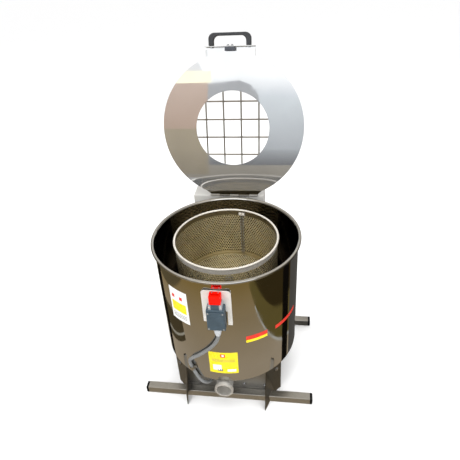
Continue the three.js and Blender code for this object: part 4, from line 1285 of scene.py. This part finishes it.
def labels():
    """Plain generic labels with no lettering."""
    looks = [white_print, yellow_print, red_print, grey_print]
    lines = [(0.12, 0.88, 0.1 + 0.05 * n, 0.118 + 0.05 * n, 3) for n in range(3)]
    label("left_label", -42.4, -24, 0.402, 0.541, looks, [
        (0.1, 0.9, 0.3, 0.6, 1), (0.14, 0.3, 0.7, 0.8, 2), (0.58, 0.74, 0.7, 0.8, 2), *lines])
    looks = [yellow_print, white_print, red_print, grey_print]
    lines = [(0.1, 0.9, 0.56 + 0.045 * n, 0.572 + 0.045 * n, 3) for n in range(3)]
    label("front_label", -10.7, 12.6, 0.193, 0.3, looks, [
        (0.41, 0.57, 0.77, 0.92, 2), (0.45, 0.53, 0.8, 0.89, 1), (0.12, 0.42, 0.14, 0.4, 1),
        (0.28, 0.46, 0.1, 0.2, 3), (0.62, 0.92, 0.08, 0.2, 1), *lines])
    label("accent_bars", 20, 38, 0.34, 0.37, [red_print, yellow_print], [(0.0, 1.0, 0.0, 0.4, 1)])
    label("accent_stripe", 46, 74, 0.35, 0.366, [red_print], [])


# ---- studio ----

CAMERA_AT = (0.2184, AXIS.y - 1.2404, 1.4815)
CAMERA_LENS = 34.46
CAMERA_YAW, CAMERA_PITCH, CAMERA_ROLL = (math.radians(turn) for turn in (-9.262, 33.92, -3.673))
ROOM = 3.4  # half the width of the reflected room, and its height
NEAR = -3.2  # the wall in front of the machine


def glowing(name, colour, top=None, reach=None):
    """A plain glow, or one that blends to a second colour.

    It blends from the foot of the card to its top, or over two distances from the tank's foot."""
    material = bpy.data.materials.new(name)
    material.use_nodes = True
    tree = material.node_tree
    tree.nodes.clear()
    light = node(tree, "Emission", {"Color": (*colour, 1)})
    if top:
        place = node(tree, "TexCoord", {}).outputs
        if reach:
            away = node(tree, "VectorMath", {0: place["Object"]}, operation="LENGTH").outputs["Value"]
            share = node(tree, "MapRange", {"From Min": reach[0], "From Max": reach[1], "Value": away})
            factor = share.outputs["Result"]
        else:
            factor = node(tree, "SeparateXYZ", {"Vector": place["Generated"]}).outputs["Z"]
        ramp = node(tree, "ValToRGB", {"Fac": factor})
        for element, shade in zip(ramp.color_ramp.elements, (colour, top)):
            element.color = (*shade, 1)
        tree.links.new(ramp.outputs["Color"], light.inputs["Color"])
    node(tree, "OutputMaterial", {"Surface": light.outputs["Emission"]})
    return material


def studio_sheet(name, corners, material):
    """A flat sheet that is part of the studio, not of the machine."""
    mesh = bpy.data.meshes.new(name)
    mesh.from_pydata(corners, [], [tuple(range(len(corners)))])
    mesh.materials.append(material)
    made = bpy.data.objects.new(name, mesh)
    bpy.context.scene.collection.objects.link(made)
    return made


def card(name, corners, colour, top=None, reach=None):
    """A glowing sheet that shows only in reflections."""
    made = studio_sheet(name, corners, glowing(name, colour, top, reach))
    made.visible_camera = False
    made.visible_diffuse = False
    made.visible_shadow = False
    made.visible_transmission = False


def flat(x0, x1, y0, y1, z):
    return [(x0, y0, z), (x1, y0, z), (x1, y1, z), (x0, y1, z)]


def wall(x0, x1, y, z0, z1):
    return [(x0, y, z0), (x1, y, z0), (x1, y, z1), (x0, y, z1)]


def on_near_wall(points):
    """Corners that stand in the wall in front of the machine."""
    return [(x, NEAR, z) for x, z in points]


def wedge(name, start, end, depth, colour):
    """A reflection-only slice of ground that the tank shows as an upright stripe.

    The stripe lies between two bearings on the tank, seen from the camera's side."""
    feet, ends = [], []
    for degrees in (start, end):
        foot = around(degrees, TANK_R, -depth)
        view = Vector(CAMERA_AT) - foot
        bearing = 2 * math.radians(degrees) - math.atan2(view.x, -view.y)
        feet.append(tuple(foot))
        ends.append(tuple(foot + Vector((math.sin(bearing), -math.cos(bearing), 0)) * 3.0))
    card(name, [feet[0], ends[0], ends[1], feet[1]], colour)


def reflected_ground():
    """The ground that only the polished steel shows, with its dark edges and pale streaks."""
    room = (-ROOM, ROOM, -ROOM, ROOM)
    card("mirror_ground", flat(*room, -0.006), (0.385, 0.32, 0.235), (0.25, 0.165, 0.04), (0.45, 1.05))
    brown = [(0.549, -0.8), (0.66, -0.8), (0.66, 3.3), (0.1, 2.4), (0.42, 0.1)]
    card("brown_right", [(x, y, -0.005) for x, y in brown], (0.14, 0.11, 0.035))
    card("dark_right", flat(0.66, 3.3, -0.9, 3.3, -0.005), (0.04, 0.028, 0.01))
    line = [(0.506, -0.6), (0.523, -0.6), (0.423, 0.1), (0.406, 0.1)]
    card("pale_line", [(x, y, -0.0045) for x, y in line], (0.5, 0.5, 0.47))
    card("dark_left", flat(-0.62, -0.42, -0.3, 1.2, -0.005), (0.075, 0.058, 0.03))
    card("left_streak", flat(-0.47, -0.455, -0.3, 0.6, -0.0045), (0.4, 0.38, 0.32))
    card("dark_left_far", flat(-3.3, -0.8, -0.6, 3.3, -0.005), (0.12, 0.095, 0.05))
    card("grey_far_ground", flat(-ROOM, ROOM, -ROOM, -1.35, -0.0055), (0.37, 0.36, 0.35))
    for name, start, end in (("left_edge", -62, -53), ("right_edge", 54, 62)):
        wedge(name, start, end, 0.004, (0.006, 0.005, 0.004))
    wedge("right_rim", 64, 89, 0.0035, (0.09, 0.085, 0.08))


def reflected_room():
    """The ceiling and walls that only the polished steel shows."""
    card("ceiling", flat(-ROOM, ROOM, -ROOM, ROOM, ROOM), (0.75, 0.71, 0.65))
    card("back_wall", wall(-ROOM, ROOM, 3.3, 0, ROOM), (0.4, 0.37, 0.33), (0.55, 0.53, 0.5))
    card("front_wall", wall(-ROOM, ROOM, -3.35, 0, ROOM), (0.2, 0.17, 0.12), (0.9, 0.9, 0.9))
    for side in (-3.35, 3.35):
        corners = [(side, y, z) for y, z in ((-ROOM, 0), (ROOM, 0), (ROOM, ROOM), (-ROOM, ROOM))]
        card("side_wall", corners, (0.12, 0.105, 0.08), (0.4, 0.38, 0.35))

    card("stool", wall(-1.5, -0.74, NEAR, 0.1, 1.04), (0.2, 0.15, 0.07), (0.335, 0.257, 0.133))
    card("brown_wall", wall(-1.6, -0.74, NEAR, 1.04, 1.55), (0.46, 0.29, 0.19), (0.65, 0.47, 0.37))
    card("cream", wall(-1.6, -0.7, NEAR, 1.55, 1.68), (1.6, 1.5, 1.1))
    band = [(-0.74, 1.0), (-0.12, 1.0), (-0.17, 1.4), (-0.25, 1.52), (-0.38, 1.57), (-0.74, 1.54)]
    card("grey_band", on_near_wall(band), (0.42, 0.44, 0.48))
    card("cool_wall", wall(-0.74, 3.2, NEAR - 0.03, 0.3, 1.6), (0.05, 0.055, 0.075), (0.98, 1.07, 1.16))
    card("haze", wall(-0.74, 3.2, NEAR - 0.01, 1.38, 1.62), (0.82, 0.89, 0.98), (1.4, 1.44, 1.5))
    corner = [(-1.9, 1.68), (-0.8, 1.68), (-1.0, 2.05), (-1.9, 2.2)]
    card("soft_corner", on_near_wall(corner), (1.0, 1.02, 1.06), (1.3, 1.33, 1.36))
    card("bright_top", wall(-1.9, 3.2, NEAR - 0.02, 1.6, 3.3), (1.4, 1.44, 1.5), (1.8, 1.83, 1.87))


def studio():
    """A plain pale floor, the reflected room and a white world."""
    pale_floor = Finish("pale_floor", (0.9, 0.9, 0.9), 0.0, 0.9).material
    floor = studio_sheet("floor", flat(-40, 40, -40, 40, 0), pale_floor)
    floor.visible_glossy = False
    reflected_ground()
    reflected_room()

    world = bpy.data.worlds.new("studio")
    bpy.context.scene.world = world
    world.use_nodes = True
    background = world.node_tree.nodes["Background"]
    background.inputs["Color"].default_value = (1.0, 1.0, 1.0, 1)
    background.inputs["Strength"].default_value = 1.1


def lamps():
    """Soft square lamps aimed at the tank's middle. The steel doesn't mirror them."""
    for name, size, power, where in (("key", 1.0, 28, (-1.1, -2.0, 2.3)),
                                     ("top", 2.4, 40, (0.3, -0.2, 3.0)),
                                     ("fill", 1.6, 12, (2.2, -1.0, 1.6)),
                                     ("back", 1.6, 14, (-0.8, 2.4, 2.0))):
        data = bpy.data.lights.new(name, "AREA")
        data.size, data.energy = size, power
        made = bpy.data.objects.new(name, data)
        bpy.context.scene.collection.objects.link(made)
        made.location = where
        aim = Vector((0, AXIS.y, 0.5)) - Vector(where)
        made.rotation_euler = aim.to_track_quat("-Z", "Y").to_euler()
        made.visible_glossy = False


def camera():
    """An eye-level view from the front right, tipped down onto the open tank."""
    data = bpy.data.cameras.new("camera")
    made = bpy.data.objects.new("camera", data)
    bpy.context.scene.collection.objects.link(made)
    data.sensor_width = 36
    data.lens = CAMERA_LENS
    yaw, pitch, roll = CAMERA_YAW, CAMERA_PITCH, CAMERA_ROLL
    ahead = Vector((math.sin(yaw) * math.cos(pitch), math.cos(yaw) * math.cos(pitch), -math.sin(pitch)))
    right = Vector((math.cos(yaw), -math.sin(yaw), 0))
    up = right.cross(ahead)
    level_right = math.cos(roll) * right + math.sin(roll) * up
    level_up = -math.sin(roll) * right + math.cos(roll) * up
    turn = Matrix((level_right, level_up, -ahead)).transposed().to_4x4()
    made.matrix_world = Matrix.Translation(CAMERA_AT) @ turn
    bpy.context.scene.camera = made


bpy.context.scene.view_settings.view_transform = "Standard"
camera()
studio()
lamps()
tank()
outlet()
foot_bars()
stand()
basket_wall()
basket_floor()
basket_band()
basket_lap()
basket_drive()
machinery()
housing()
control_panel()
speed_control()
push_buttons()
guard_bracket()
guard_switch()
guard_head()
switch_gland()
conduit()
conduit_saddle()
fixed_hinge()
moving_hinge()
lid_panel()
window_grid()
lid_fittings()
labels()
